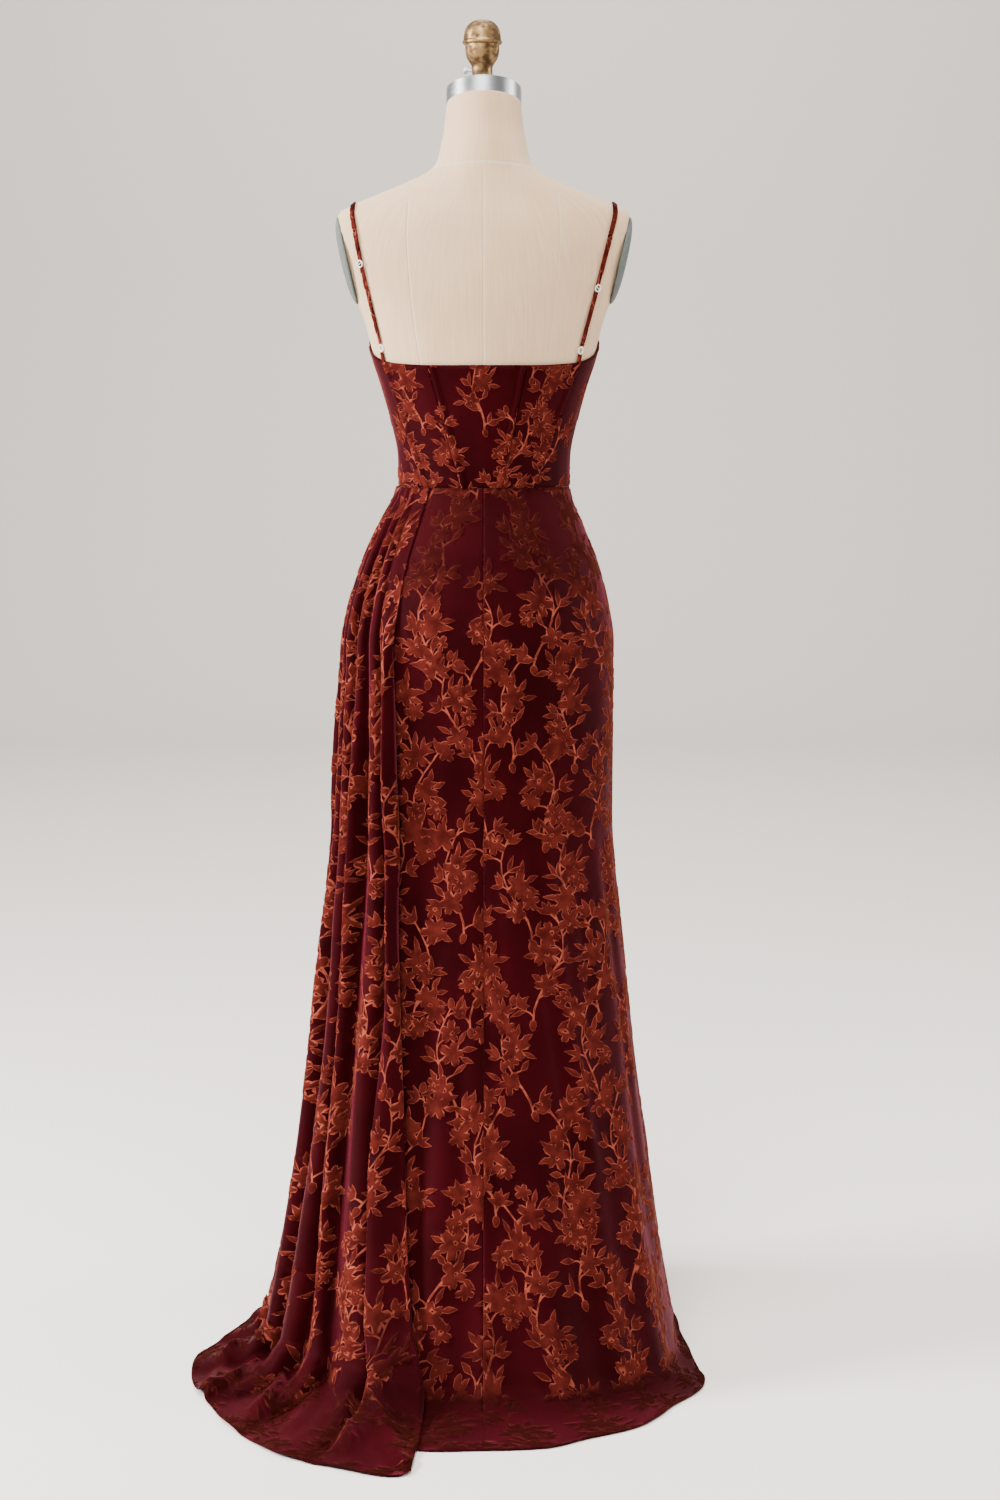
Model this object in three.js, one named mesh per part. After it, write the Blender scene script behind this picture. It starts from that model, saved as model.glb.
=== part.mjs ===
// A prom dress on a limbless dress form, in millimetres with +Z up.
// The origin is the centre of the stand's underside. The back of the dress faces -Y,
// and +X is on the right seen from behind. Angles run round the figure from the
// centre back, positive towards +X, so 180 degrees is the centre front.

import * as THREE from "three";

// Cloth walls and the clearances between pieces
const CLOTH_WALL = 2.0;
const EASE = 1.0;
const SEAM_GAP = 0.3;
const SEAT_GAP = 0.3;
const CLOTH_STAND = EASE + CLOTH_WALL;

// Heights that drive the dress
const WAIST = 1120;
const HEM_CURVE_START = 42;
const FORM_BOTTOM = 850;
const NECK_TOP = 1602;
const NECK_TOP_CENTRE_Y = 5;
const NECK_TILT = THREE.MathUtils.degToRad(17);

// Heights shared by the form, the skirt and the drape below the waist seam
const SKIRT_TOP = WAIST - SEAM_GAP / 2;
const HANG_LEVELS = [SKIRT_TOP, 1098, 1070, 1038, 1002, 962, 922, 886, 850, 780, 690, 590, 480, 370, 265, 170,
  95, HEM_CURVE_START];
// Heights shared by the form and the bodice
const BODICE_LEVELS = [WAIST + SEAM_GAP / 2, 1137, 1156, 1179, 1205, 1231, 1256];
const UPPER_FORM_LEVELS = [1272, 1288, 1304, 1320, 1338, 1356, 1385, 1415, 1445, 1463, 1476, 1488, 1500, 1510,
  1521, 1532, 1550, 1574];
const SHOULDER_LEVEL = 1463;

// Turns rows of numbers into rows with named columns
function table(columns, rows) {
  return rows.map((row) => Object.fromEntries(columns.map((name, index) => [name, row[index]])));
}

// The figure: the form's surface down to its lower end, and below that the skirt's hang.
// half is the half width, front and back are the reach from the Y axis, centre is the Y of
// the widest line, and square is the exponent of the section's superellipse.
const FIGURE = table(["z", "half", "front", "back", "centre", "square"], [
  [1602, 47.5, 53, 43, 5, 2.0],
  [1574, 50.5, 53, 49, 2, 2.0],
  [1550, 55, 50, 58, -4, 2.0],
  [1532, 59.5, 48, 64, -8, 2.0],
  [1521, 67, 46, 68, -11, 2.0],
  [1510, 86, 45, 71, -13, 2.0],
  [1500, 109, 43, 74, -15, 2.0],
  [1488, 138, 42, 77, -17, 2.0],
  [1476, 167, 44, 81, -17, 2.0],
  [1463, 188, 48, 85, -16, 2.1],
  [1445, 191, 56, 89, -14, 2.2],
  [1415, 185, 68, 92, -10, 2.3],
  [1385, 176, 82, 94, -6, 2.3],
  [1356, 163, 98, 95, -2, 2.3],
  [1330, 153, 110, 95, 0, 2.3],
  [1302, 145.5, 118, 95, 0, 2.3],
  [1278, 139, 116, 94, 0, 2.3],
  [1256, 131.5, 109, 92, 0, 2.25],
  [1205, 117.5, 96, 88, 0, 2.2],
  [1156, 108.5, 89, 86, 0, 2.15],
  [1120, 108, 88, 86, 0, 2.1],
  [1072, 125, 94, 104, 0, 2.15],
  [1026, 143, 100, 122, 0, 2.2],
  [970, 158, 106, 135, 0, 2.25],
  [922, 165, 108, 139, 0, 2.3],
  [850, 166, 111, 135, 0, 2.3],
  [700, 164.5, 118, 131, 0, 2.3],
  [553, 177, 129, 155, -10, 2.2],
  [391, 194, 145, 195, -32, 2.15],
  [228, 215, 167, 248, -58, 2.1],
  [118, 230, 185, 290, -76, 2.1],
  [42, 245, 200, 331, -90, 2.1],
]);

// How far the cups round out over the bust
const BUST = { rise: 12, angle: 146, spread: 26, z: 1286, height: 54, cupEase: 0.2 };

// Flat sides of the form at the armholes: half width at the lower end, and its slope
const ARM_FLAT = { z: 1356, half: 161, slope: 0.226 };

// Top edge of the bodice round the body, a soft heart shape in front
const NECKLINE = table(["angle", "z"], [
  [0, 1274], [35, 1274], [60, 1277], [78, 1287], [92, 1300], [115, 1324], [140, 1352], [155, 1346],
  [170, 1312], [180, 1298],
]);

// Seams of the bodice: x of the back ones, angle of the rest, at the top and at the waist
const BACK_SEAMS = {
  left_outer: { top: -127, waist: -76 },
  left_inner: { top: -70, waist: -29 },
  right_inner: { top: 54, waist: 23 },
  right_outer: { top: 121, waist: 63 },
};
const FRONT_SEAMS = {
  left_side: { top: 250, waist: 252 },
  left_princess: { top: 207, waist: 200 },
  right_princess: { top: 153, waist: 160 },
  right_side: { top: 110, waist: 108 },
};
const BONE = { width: 9, slope: 1, rise: 1.3 };
const SEAM_INSET = 0.2;

// Skirt hem on the floor: distance from the Z axis at each angle
const SKIRT_HEM = table(["angle", "reach"], [
  [-180, 228], [-135, 236], [-90, 258], [-75, 276], [-60, 292], [-45, 310], [-30, 350], [-20, 402], [-14, 446],
  [-9, 465], [0, 458], [9, 457], [17, 439], [26, 428], [31.5, 411], [37, 392], [46, 377], [52.5, 353], [55, 336],
  [65, 296], [82, 262], [100, 256], [135, 238], [180, 228],
]);

// How the cloth turns out onto the floor: share of the way to the hem, and height left
const FLOOR_TURN = table(["along", "z"], [[0.13, 19], [0.3, 8], [0.55, 3.4], [0.8, CLOTH_WALL], [1, CLOTH_WALL]]);
const LIFT_OVER_HEM = 2 * CLOTH_WALL + 0.7;
const HEM_MARGIN = 7;

// Soft flutes in the lower skirt: angle at the upper end and at the hem, height where each
// starts, how far it stands out, and its half width in degrees
const FLUTES = table(["upper", "hem", "z", "depth", "spread"], [
  [-14, -16, 560, 9, 7],
  [1, 2, 620, 7, 5],
  [19, 24, 470, 11, 8],
  [40, 42, 520, 9, 6],
  [62, 58, 430, 9, 7],
  [118, 116, 420, 8, 10],
  [150, 150, 460, 8, 10],
  [184, 184, 430, 8, 11],
]);

// Troughs between the pleats of the side drape, as degrees to the left of the centre back.
// The first row is the free edge behind and the last is the one in front.
const PLEAT_LEVELS = [WAIST, 895, 600, 325, 125, 0];
const PLEATS = table(["waist", "hip", "thigh", "shin", "ankle", "hem"], [
  [44, 43.5, 39, 30, 22, 10.8],
  [54, 50, 45, 40, 34, 26],
  [60.5, 59, 57.5, 55, 50.5, 42],
  [67, 67.5, 65.5, 63, 58, 56],
  [76, 77, 78, 76, 73, 72],
  [86, 87, 90, 90, 89, 90],
  [97, 98, 101, 104, 104, 106],
  [108, 109, 113, 117, 118, 120],
  [119, 120, 125, 129, 130, 132],
  [130, 131, 136, 140, 141, 143],
  [141, 142, 146, 149, 151, 153],
]);

// How far the drape stands off the skirt, and how deep its pleats are, by height
const DRAPE = table(["z", "stand", "depth"], [
  [1120, 2.5, 0.6], [1098, 3, 4], [1072, 3.4, 6.5], [1026, 4, 8], [970, 5, 10], [890, 6, 12], [780, 9, 18],
  [690, 12, 21], [490, 13, 20.5], [290, 14, 21.5], [125, 17, 24], [42, 20, 22],
]);

// One pleat from its left trough to its right one: place along it, and height of the fold
const PLEAT_SHAPE = table(["along", "rise"], [[0, 0], [0.34, 0.62], [0.68, 1], [0.88, 0.66]]);

// Drape hem on the floor, with the train: distance from the Z axis at each angle to the left
const DRAPE_HEM = table(["angle", "reach"], [
  [8.8, 524], [9.5, 541], [12, 547], [19, 539], [26.5, 531], [31.5, 515], [41, 483], [47, 461], [53.5, 447],
  [59.5, 430], [68.5, 399], [73.5, 372], [81.5, 337], [89, 320], [110, 294], [130, 272], [151, 256],
]);
const FLOOR_FOLD_SHARE = [0.8, 0.6, 0.4, 0.22, 0.1];
const SLOPE_STEP = 4;

// Straps: ribbon size, and the line of each over the shoulder
const STRAP = { width: 6.5, thickness: 1.6, gap: 0.9, steps: 9 };
const STRAP_LINES = {
  left: { sign: -1, seam: 126, ring: { x: 129, z: 1296 }, slider: { x: 154, z: 1401 }, shoulder: 165, cup: 86 },
  right: { sign: 1, seam: 119, ring: { x: 121.5, z: 1293 }, slider: { x: 142, z: 1371 }, shoulder: 165, cup: 86 },
};
const SHOULDER_START = 1462;
const TAB_LIFT = 1.7;
const STRAP_SEAT = 1.2;
const RING = { radius: 4.1, wire: 0.8, around: 10, section: 5 };

// Form fittings
const NECK_RING = { radius: 48, height: 21.5, bevel: 1.2 };
const FINIAL = { x: -2, y: 8, stem: 13 };
const FINIAL_PROFILE = table(["z", "radius"], [
  [0, 11.5], [2, 13], [27, 13], [30, 15], [37, 21.5], [43, 22], [50, 20.5], [54, 18], [55.5, 24.5], [59.5, 25.5],
  [62, 23.5], [66, 19], [72, 16.5], [80, 13], [85, 7],
]);
const SCREW = { radius: 2.4, length: 6, head: 4.5, headLength: 4, z: 1646.5 };
const ARM_PLATE = { z: 1407, height: 56, depth: 37, y: -13, bulge: 7, rim: 2.5 };
// Scale of the plate's outline, and shares of its rim and its bulge, from the form outwards
const ARM_PLATE_LAYERS = [[1, 0, 0], [1, 1, 0], [0.9, 1, 0.45], [0.6, 1, 0.85], [0.25, 1, 1]];

// Stand
const BASE = { radius: 160, rim: 9, crown: 15, hub: 30, hubTop: 46 };
const POLE_RADIUS = 12.5;

// Sides of the round pieces, and steps of a search by halving
const SIDES = { torso: 36, neckRing: 28, finial: 18, screw: 14, armPlate: 20, base: 32, pole: 18 };
const HALVINGS = 40;
const FAR_OUT = 900;

const group = new THREE.Group();

// Smooth value of a column at a place along another one, without overshoot
function sample(rows, key, column, at) {
  const ordered = rows[0][key] < rows[rows.length - 1][key] ? rows : [...rows].reverse();
  const last = ordered.length - 1;
  if (at <= ordered[0][key]) return ordered[0][column];
  if (at >= ordered[last][key]) return ordered[last][column];
  let low = 0;
  while (at > ordered[low + 1][key]) low += 1;
  const slopeOf = (i) => (ordered[i + 1][column] - ordered[i][column]) / (ordered[i + 1][key] - ordered[i][key]);
  const tangent = (i) => {
    if (i === 0) return slopeOf(0);
    if (i === last) return slopeOf(last - 1);
    const before = slopeOf(i - 1);
    const after = slopeOf(i);
    return before * after <= 0 ? 0 : (2 * before * after) / (before + after);
  };
  const width = ordered[low + 1][key] - ordered[low][key];
  const t = (at - ordered[low][key]) / width;
  const t2 = t * t;
  const t3 = t2 * t;
  return (2 * t3 - 3 * t2 + 1) * ordered[low][column] + (t3 - 2 * t2 + t) * width * tangent(low)
    + (3 * t2 - 2 * t3) * ordered[low + 1][column] + (t3 - t2) * width * tangent(low + 1);
}

const radians = THREE.MathUtils.degToRad;
const mix = THREE.MathUtils.lerp;

function steps(from, to, count) {
  return Array.from({ length: count + 1 }, (_, i) => mix(from, to, i / count));
}

function smoothStep(from, to, value) {
  return THREE.MathUtils.smoothstep(value, from, to);
}

// Signed difference of two angles in degrees
function turnBetween(a, b) {
  return ((a - b + 540) % 360) - 180;
}

function figureSection(z) {
  const read = (column) => sample(FIGURE, "z", column, z);
  const centre = read("centre");
  return { half: read("half"), front: read("front") - centre, back: read("back") + centre, centre,
    square: read("square") };
}

function bustRise(angle, z) {
  const aside = (Math.abs(turnBetween(angle, 0)) - BUST.angle) / BUST.spread;
  const above = (z - BUST.z) / BUST.height;
  return BUST.rise * Math.exp(-aside * aside - above * above);
}

// Point of the figure at an angle in degrees, moved out. Cloth stands off a little more at the cups.
function figurePoint(angle, z, out) {
  const section = figureSection(z);
  const side = Math.sin(radians(angle));
  const ahead = -Math.cos(radians(angle));
  const spread = out + bustRise(angle, z) * (out > 0 ? 1 + BUST.cupEase : 1);
  const half = section.half + spread;
  const reach = (ahead < 0 ? section.back : section.front) + spread;
  const n = section.square;
  const radius = (Math.abs(side / half) ** n + Math.abs(ahead / reach) ** n) ** (-1 / n);
  return new THREE.Vector3(radius * side, section.centre + radius * ahead, z);
}

// Angle on the back at which the figure reaches a given x
function angleAtX(x, z, out) {
  let low = 0;
  let high = 90;
  for (let step = 0; step < HALVINGS; step += 1) {
    const middle = (low + high) / 2;
    if (figurePoint(middle, z, out).x < Math.abs(x)) low = middle;
    else high = middle;
  }
  return Math.sign(x) * low;
}

// Closed mesh from quads and triangles over shared points, turned to face outwards
function closedMesh(points, faces) {
  const triangles = faces.flatMap((face) => (face.length === 4
    ? [[face[0], face[1], face[2]], [face[0], face[2], face[3]]] : [face]));
  let volume = 0;
  for (const [a, b, c] of triangles) {
    volume += points[a].dot(new THREE.Vector3().crossVectors(points[b], points[c]));
  }
  const index = triangles.flatMap(([a, b, c]) => (volume > 0 ? [a, b, c] : [a, c, b]));
  const geometry = new THREE.BufferGeometry();
  geometry.setAttribute("position", new THREE.Float32BufferAttribute(points.flatMap((p) => [p.x, p.y, p.z]), 3));
  geometry.setIndex(index);
  geometry.computeVertexNormals();
  return geometry;
}

// Outward normals of a grid of points, rows from the top down and columns to the right
function gridNormals(grid) {
  const at = (row, column) => grid[Math.min(Math.max(row, 0), grid.length - 1)][
    Math.min(Math.max(column, 0), grid[0].length - 1)];
  return grid.map((line, row) => line.map((point, column) => {
    const down = at(row + 1, column).clone().sub(at(row - 1, column));
    const across = at(row, column + 1).clone().sub(at(row, column - 1));
    return down.cross(across).normalize();
  }));
}

// Wall between an outer and an inner grid of points, closed along its four edges
function wallBetween(outer, inner) {
  const rows = outer.length;
  const columns = outer[0].length;
  const points = [...outer.flat(), ...inner.flat()];
  const out = (row, column) => row * columns + column;
  const into = (row, column) => rows * columns + row * columns + column;
  const faces = [];
  for (let row = 0; row < rows - 1; row += 1) {
    for (let column = 0; column < columns - 1; column += 1) {
      faces.push([out(row, column), out(row + 1, column), out(row + 1, column + 1), out(row, column + 1)]);
      faces.push([into(row, column), into(row, column + 1), into(row + 1, column + 1), into(row + 1, column)]);
    }
  }
  for (let column = 0; column < columns - 1; column += 1) {
    faces.push([out(0, column), out(0, column + 1), into(0, column + 1), into(0, column)]);
    faces.push([out(rows - 1, column + 1), out(rows - 1, column), into(rows - 1, column),
      into(rows - 1, column + 1)]);
  }
  for (let row = 0; row < rows - 1; row += 1) {
    faces.push([out(row + 1, 0), out(row, 0), into(row, 0), into(row + 1, 0)]);
    faces.push([out(row, columns - 1), out(row + 1, columns - 1), into(row + 1, columns - 1),
      into(row, columns - 1)]);
  }
  return closedMesh(points, faces);
}

// Inner points of a hanging wall. Where the cloth lies on the floor they are straight below.
function innerOf(grid, wall) {
  const normals = gridNormals(grid);
  return grid.map((line, row) => line.map((point, column) => {
    if (point.z <= wall) return new THREE.Vector3(point.x, point.y, 0);
    const normal = normals[row][column];
    const inner = point.clone().addScaledVector(normal, -wall);
    if (row === 0) inner.z = point.z;
    inner.z = Math.max(inner.z, 0);
    return inner;
  }));
}

// Solid skinned through rings of points, closed flat at both ends
function loft(rings) {
  const count = rings[0].length;
  const points = rings.flat();
  const faces = [];
  for (let ring = 0; ring < rings.length - 1; ring += 1) {
    for (let i = 0; i < count; i += 1) {
      const next = (i + 1) % count;
      faces.push([ring * count + i, ring * count + next, (ring + 1) * count + next, (ring + 1) * count + i]);
    }
  }
  const addCap = (ring, turned) => {
    const middle = rings[ring].reduce((sum, p) => sum.add(p), new THREE.Vector3()).divideScalar(count);
    points.push(middle);
    for (let i = 0; i < count; i += 1) {
      const a = ring * count + i;
      const b = ring * count + ((i + 1) % count);
      faces.push(turned ? [points.length - 1, a, b] : [points.length - 1, b, a]);
    }
  };
  addCap(0, false);
  addCap(rings.length - 1, true);
  return closedMesh(points, faces);
}

function addPiece(name, geometry, look) {
  const material = new THREE.MeshStandardMaterial(look);
  const mesh = new THREE.Mesh(geometry, material);
  mesh.name = name;
  group.add(mesh);
  return mesh;
}

const LINEN = { color: 0xe6dac6, roughness: 0.9, metalness: 0 };
const SILVER = { color: 0xb9bcbf, roughness: 0.35, metalness: 1 };
const AGED_BRASS = { color: 0x8a7350, roughness: 0.5, metalness: 1 };
const FELT = { color: 0x8b8d84, roughness: 0.95, metalness: 0 };
const IRON = { color: 0x2d2c2b, roughness: 0.6, metalness: 0.6 };
const VELVET = { color: 0x6e1f1c, roughness: 0.75, metalness: 0 };
const CLEAR = { color: 0xeae6e2, roughness: 0.15, metalness: 0 };

// The form

function armFlatHalf(z) {
  return ARM_FLAT.half + ARM_FLAT.slope * (z - ARM_FLAT.z);
}

function makeTorso() {
  const levels = [...HANG_LEVELS.filter((z) => z >= FORM_BOTTOM).reverse(), ...BODICE_LEVELS.slice(1),
    ...UPPER_FORM_LEVELS, NECK_TOP];
  const rings = levels.map((z) => Array.from({ length: SIDES.torso }, (_, i) => {
    const point = figurePoint((360 * i) / SIDES.torso, z, 0);
    if (z >= ARM_FLAT.z && z <= SHOULDER_LEVEL) {
      point.x = THREE.MathUtils.clamp(point.x, -armFlatHalf(z), armFlatHalf(z));
    }
    if (z === NECK_TOP) point.z -= (point.y - NECK_TOP_CENTRE_Y) * Math.tan(NECK_TILT);
    return point;
  }));
  addPiece("form_torso", loft(rings), LINEN);
}

function makeNeckRing() {
  const { radius, height, bevel } = NECK_RING;
  const profile = [[0, 0], [radius - bevel, 0], [radius, bevel], [radius, height - bevel],
    [radius - bevel, height], [0, height]].map(([r, z]) => new THREE.Vector2(r, z));
  const geometry = new THREE.LatheGeometry(profile, SIDES.neckRing);
  geometry.rotateX(Math.PI / 2 - NECK_TILT);
  const lift = SEAT_GAP / Math.cos(NECK_TILT);
  geometry.translate(0, NECK_TOP_CENTRE_Y, NECK_TOP + lift);
  addPiece("form_neck_ring", geometry, SILVER);
}

// Height of the neck ring's tilted top at a given y
function neckRingTop(y) {
  const along = NECK_RING.height + SEAT_GAP;
  const middleY = NECK_TOP_CENTRE_Y + along * Math.sin(NECK_TILT);
  return NECK_TOP + along * Math.cos(NECK_TILT) - (y - middleY) * Math.tan(NECK_TILT);
}

// Finial turned about an upright axis, with its foot cut to the tilt of the ring
function makeFinial() {
  const foot = new THREE.Vector3(FINIAL.x, FINIAL.y, neckRingTop(FINIAL.y) + SEAT_GAP / Math.cos(NECK_TILT));
  const rings = FINIAL_PROFILE.map(({ z, radius }, index) => Array.from({ length: SIDES.finial }, (_, i) => {
    const angle = (2 * Math.PI * i) / SIDES.finial;
    const point = new THREE.Vector3(radius * Math.cos(angle), radius * Math.sin(angle), z);
    if (index < 2) point.z -= point.y * Math.tan(NECK_TILT);
    return point.add(foot);
  }));
  addPiece("form_finial", loft(rings), AGED_BRASS);
}

function makeFinialScrew() {
  const stem = FINIAL.stem + SEAT_GAP;
  const profile = [[0, 0], [SCREW.radius, 0], [SCREW.radius, SCREW.length], [SCREW.head, SCREW.length],
    [SCREW.head, SCREW.length + SCREW.headLength], [0, SCREW.length + SCREW.headLength]]
    .map(([r, z]) => new THREE.Vector2(r, z));
  const geometry = new THREE.LatheGeometry(profile, SIDES.screw);
  geometry.rotateZ(Math.PI / 2);
  geometry.translate(FINIAL.x - stem, FINIAL.y, SCREW.z);
  addPiece("form_finial_screw", geometry, SILVER);
}

// Oval plate that closes the armhole, bulged a little and tilted with the form's flat side
function makeArmPlate(name, sign) {
  const tilt = Math.atan(ARM_FLAT.slope);
  const across = new THREE.Vector3(Math.cos(tilt), 0, -Math.sin(tilt));
  const upward = new THREE.Vector3(Math.sin(tilt), 0, Math.cos(tilt));
  const seat = new THREE.Vector3(armFlatHalf(ARM_PLATE.z), ARM_PLATE.y, ARM_PLATE.z)
    .addScaledVector(across, SEAT_GAP);
  const layers = ARM_PLATE_LAYERS.map(([scale, rim, bulge]) => (
    [scale, rim * ARM_PLATE.rim + bulge * ARM_PLATE.bulge]));
  const rings = layers.map(([scale, out]) => Array.from({ length: SIDES.armPlate }, (_, i) => {
    const angle = (2 * Math.PI * i) / SIDES.armPlate;
    const point = seat.clone().addScaledVector(across, out)
      .addScaledVector(upward, scale * ARM_PLATE.height * Math.sin(angle));
    point.y += scale * ARM_PLATE.depth * Math.cos(angle);
    point.x *= sign;
    return point;
  }));
  addPiece(name, loft(rings), FELT);
}

function makeStand() {
  const { radius, rim, crown, hub, hubTop } = BASE;
  const plate = [[0, 0], [radius - 2, 0], [radius, 2], [radius, rim], [radius - 5, rim + 2], [hub + 6, crown],
    [hub, crown + 4], [hub - 6, hubTop], [0, hubTop]].map(([r, z]) => new THREE.Vector2(r, z));
  const base = new THREE.LatheGeometry(plate, SIDES.base);
  base.rotateX(Math.PI / 2);
  addPiece("form_base", base, IRON);
  const pole = new THREE.CylinderGeometry(POLE_RADIUS, POLE_RADIUS, FORM_BOTTOM - hubTop - 2 * SEAT_GAP, SIDES.pole);
  pole.rotateX(Math.PI / 2);
  pole.translate(0, 0, (FORM_BOTTOM + hubTop) / 2);
  addPiece("form_pole", pole, SILVER);
}

// The bodice

function backSeam(name) {
  const seam = BACK_SEAMS[name];
  const topZ = NECKLINE[0].z;
  return (z) => {
    const x = mix(seam.waist, seam.top, (z - WAIST) / (topZ - WAIST));
    return (angleAtX(x, z, CLOTH_STAND) + 360) % 360;
  };
}

function frontSeam(name) {
  const seam = FRONT_SEAMS[name];
  const topZ = NECKLINE[NECKLINE.length - 1].z;
  return (z) => mix(seam.waist, seam.top, (z - WAIST) / (topZ - WAIST));
}

// Heights of the rows of a bodice panel at one column, up to the neckline there
function bodiceHeights(angle, upperRows) {
  const top = sample(NECKLINE, "angle", "z", Math.abs(turnBetween(angle, 0)));
  const last = BODICE_LEVELS[BODICE_LEVELS.length - 1];
  return [...BODICE_LEVELS, ...steps(last, top, upperRows).slice(1)];
}

// Panel between two seams. Bones are raised in the outer points beside the named seams,
// and grid gives the number of columns between them and of rows above the last level.
function makeBodicePanel(name, fromSeam, toSeam, bones, grid) {
  const panelWidth = (z) => radians(toSeam(z) - fromSeam(z)) * figureSection(z).half;
  const edges = bones.from ? [0, BONE.width, BONE.width + BONE.slope] : [0];
  const farEdges = bones.to ? [BONE.width + BONE.slope, BONE.width, 0] : [0];
  const places = (z) => {
    const width = panelWidth(z);
    const start = edges[edges.length - 1] / width;
    const end = 1 - farEdges[0] / width;
    const between = steps(start, end, grid.columns).slice(1, -1);
    return [...edges.map((d) => d / width), ...between, ...farEdges.map((d) => 1 - d / width)];
  };
  const columns = places(WAIST).length;
  const raised = (column) => (bones.from && column < 2) || (bones.to && column > columns - 3);
  const topLevel = NECKLINE[0].z;
  const outer = [];
  const inner = [];
  const anglesAt = (z) => {
    const inset = THREE.MathUtils.radToDeg(SEAM_INSET / figureSection(z).half);
    return places(z).map((place) => mix(fromSeam(z) + inset, toSeam(z) - inset, place));
  };
  const heights = anglesAt(topLevel).map((angle) => bodiceHeights(angle, grid.rows));
  for (let row = heights[0].length - 1; row >= 0; row -= 1) {
    const line = [];
    const plain = [];
    for (let column = 0; column < columns; column += 1) {
      const z = heights[column][row];
      const angle = anglesAt(z)[column];
      const rise = raised(column) ? BONE.rise : 0;
      line.push(figurePoint(angle, z, CLOTH_STAND + rise));
      plain.push(figurePoint(angle, z, EASE));
    }
    outer.push(line);
    inner.push(plain);
  }
  addPiece(name, wallBetween(outer, inner), VELVET);
}

function signedTurn(seam) {
  return (z) => turnBetween(seam(z), 0);
}

function makeBodice() {
  const leftOuter = backSeam("left_outer");
  const leftInner = backSeam("left_inner");
  const rightInner = backSeam("right_inner");
  const rightOuter = backSeam("right_outer");
  const rightSide = frontSeam("right_side");
  const leftSide = frontSeam("left_side");
  const rightPrincess = frontSeam("right_princess");
  const leftPrincess = frontSeam("left_princess");
  const both = { from: true, to: true };
  const first = { from: true, to: false };
  const last = { from: false, to: true };
  const none = { from: false, to: false };
  makeBodicePanel("bodice_back_centre", signedTurn(leftInner), rightInner, both, { columns: 4, rows: 1 });
  makeBodicePanel("bodice_back_left", leftOuter, leftInner, first, { columns: 3, rows: 1 });
  makeBodicePanel("bodice_back_right", rightInner, rightOuter, last, { columns: 3, rows: 1 });
  makeBodicePanel("bodice_side_right", rightOuter, rightSide, last, { columns: 5, rows: 2 });
  makeBodicePanel("bodice_side_left", leftSide, leftOuter, first, { columns: 5, rows: 2 });
  makeBodicePanel("bodice_front_right", rightSide, rightPrincess, last, { columns: 7, rows: 5 });
  makeBodicePanel("bodice_front_left", leftPrincess, leftSide, first, { columns: 7, rows: 5 });
  makeBodicePanel("bodice_front_centre", rightPrincess, leftPrincess, none, { columns: 8, rows: 5 });
}

// The skirt and its side drape

function fluteRise(angle, z) {
  return FLUTES.reduce((sum, flute) => {
    const centre = mix(flute.hem, flute.upper, THREE.MathUtils.clamp(z / flute.z, 0, 1));
    const aside = turnBetween(angle, centre) / flute.spread;
    return sum + flute.depth * (1 - smoothStep(0.25 * flute.z, flute.z, z)) * Math.exp(-aside * aside);
  }, 0);
}

// Point of a hem at an angle about the middle of the lowest section
function hemPoint(hemTable, angle, sign) {
  const middle = new THREE.Vector3(0, figureSection(HEM_CURVE_START).centre, 0);
  const ahead = new THREE.Vector3(sign * Math.sin(radians(angle)), -Math.cos(radians(angle)), 0);
  let inside = 0;
  let outside = FAR_OUT;
  for (let step = 0; step < HALVINGS; step += 1) {
    const point = middle.clone().addScaledVector(ahead, (inside + outside) / 2);
    const bearing = sign * THREE.MathUtils.radToDeg(Math.atan2(point.x, -point.y));
    if (point.length() < sample(hemTable, "angle", "reach", bearing)) inside = (inside + outside) / 2;
    else outside = (inside + outside) / 2;
  }
  return middle.addScaledVector(ahead, inside);
}

// Column of a skirt wall, from the waist to the hem
function skirtColumn(angle) {
  const upright = HANG_LEVELS.map((z) => figurePoint(angle, z, CLOTH_STAND + fluteRise(angle, z)));
  const foot = upright[upright.length - 1];
  const hem = hemPoint(SKIRT_HEM, turnBetween(angle, 0), 1);
  const floor = FLOOR_TURN.map(({ along, z }) => foot.clone().lerp(hem, along).setZ(z));
  return [...upright, ...floor];
}

// Turns columns of points into rows, from the top down
function rowsOf(columns) {
  return columns[0].map((_, row) => columns.map((column) => column[row]));
}

// Outer and inner points of the skirt at an angle, moved along the hem to open a seam. The
// slope is read from a fixed step to each side, so both sides of a seam are cut alike.
function skirtWall(angle, shift) {
  const outer = skirtColumn(angle);
  const before = skirtColumn(angle - SLOPE_STEP);
  const after = skirtColumn(angle + SLOPE_STEP);
  const last = outer.length - 1;
  const inner = outer.map((point, row) => {
    if (point.z <= CLOTH_WALL) return point.clone().setZ(0);
    const down = outer[Math.min(row + 1, last)].clone().sub(outer[Math.max(row - 1, 0)]);
    const across = after[row].clone().sub(before[row]);
    const within = point.clone().addScaledVector(down.cross(across).normalize(), -CLOTH_WALL);
    return row === 0 ? within.setZ(point.z) : within.setZ(Math.max(within.z, 0));
  });
  const aside = (row) => after[row].clone().sub(before[row]).setZ(0).normalize().multiplyScalar(shift);
  return { outer: outer.map((point, row) => point.add(aside(row))), inner: inner.map((p, row) => p.add(aside(row))) };
}

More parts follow.
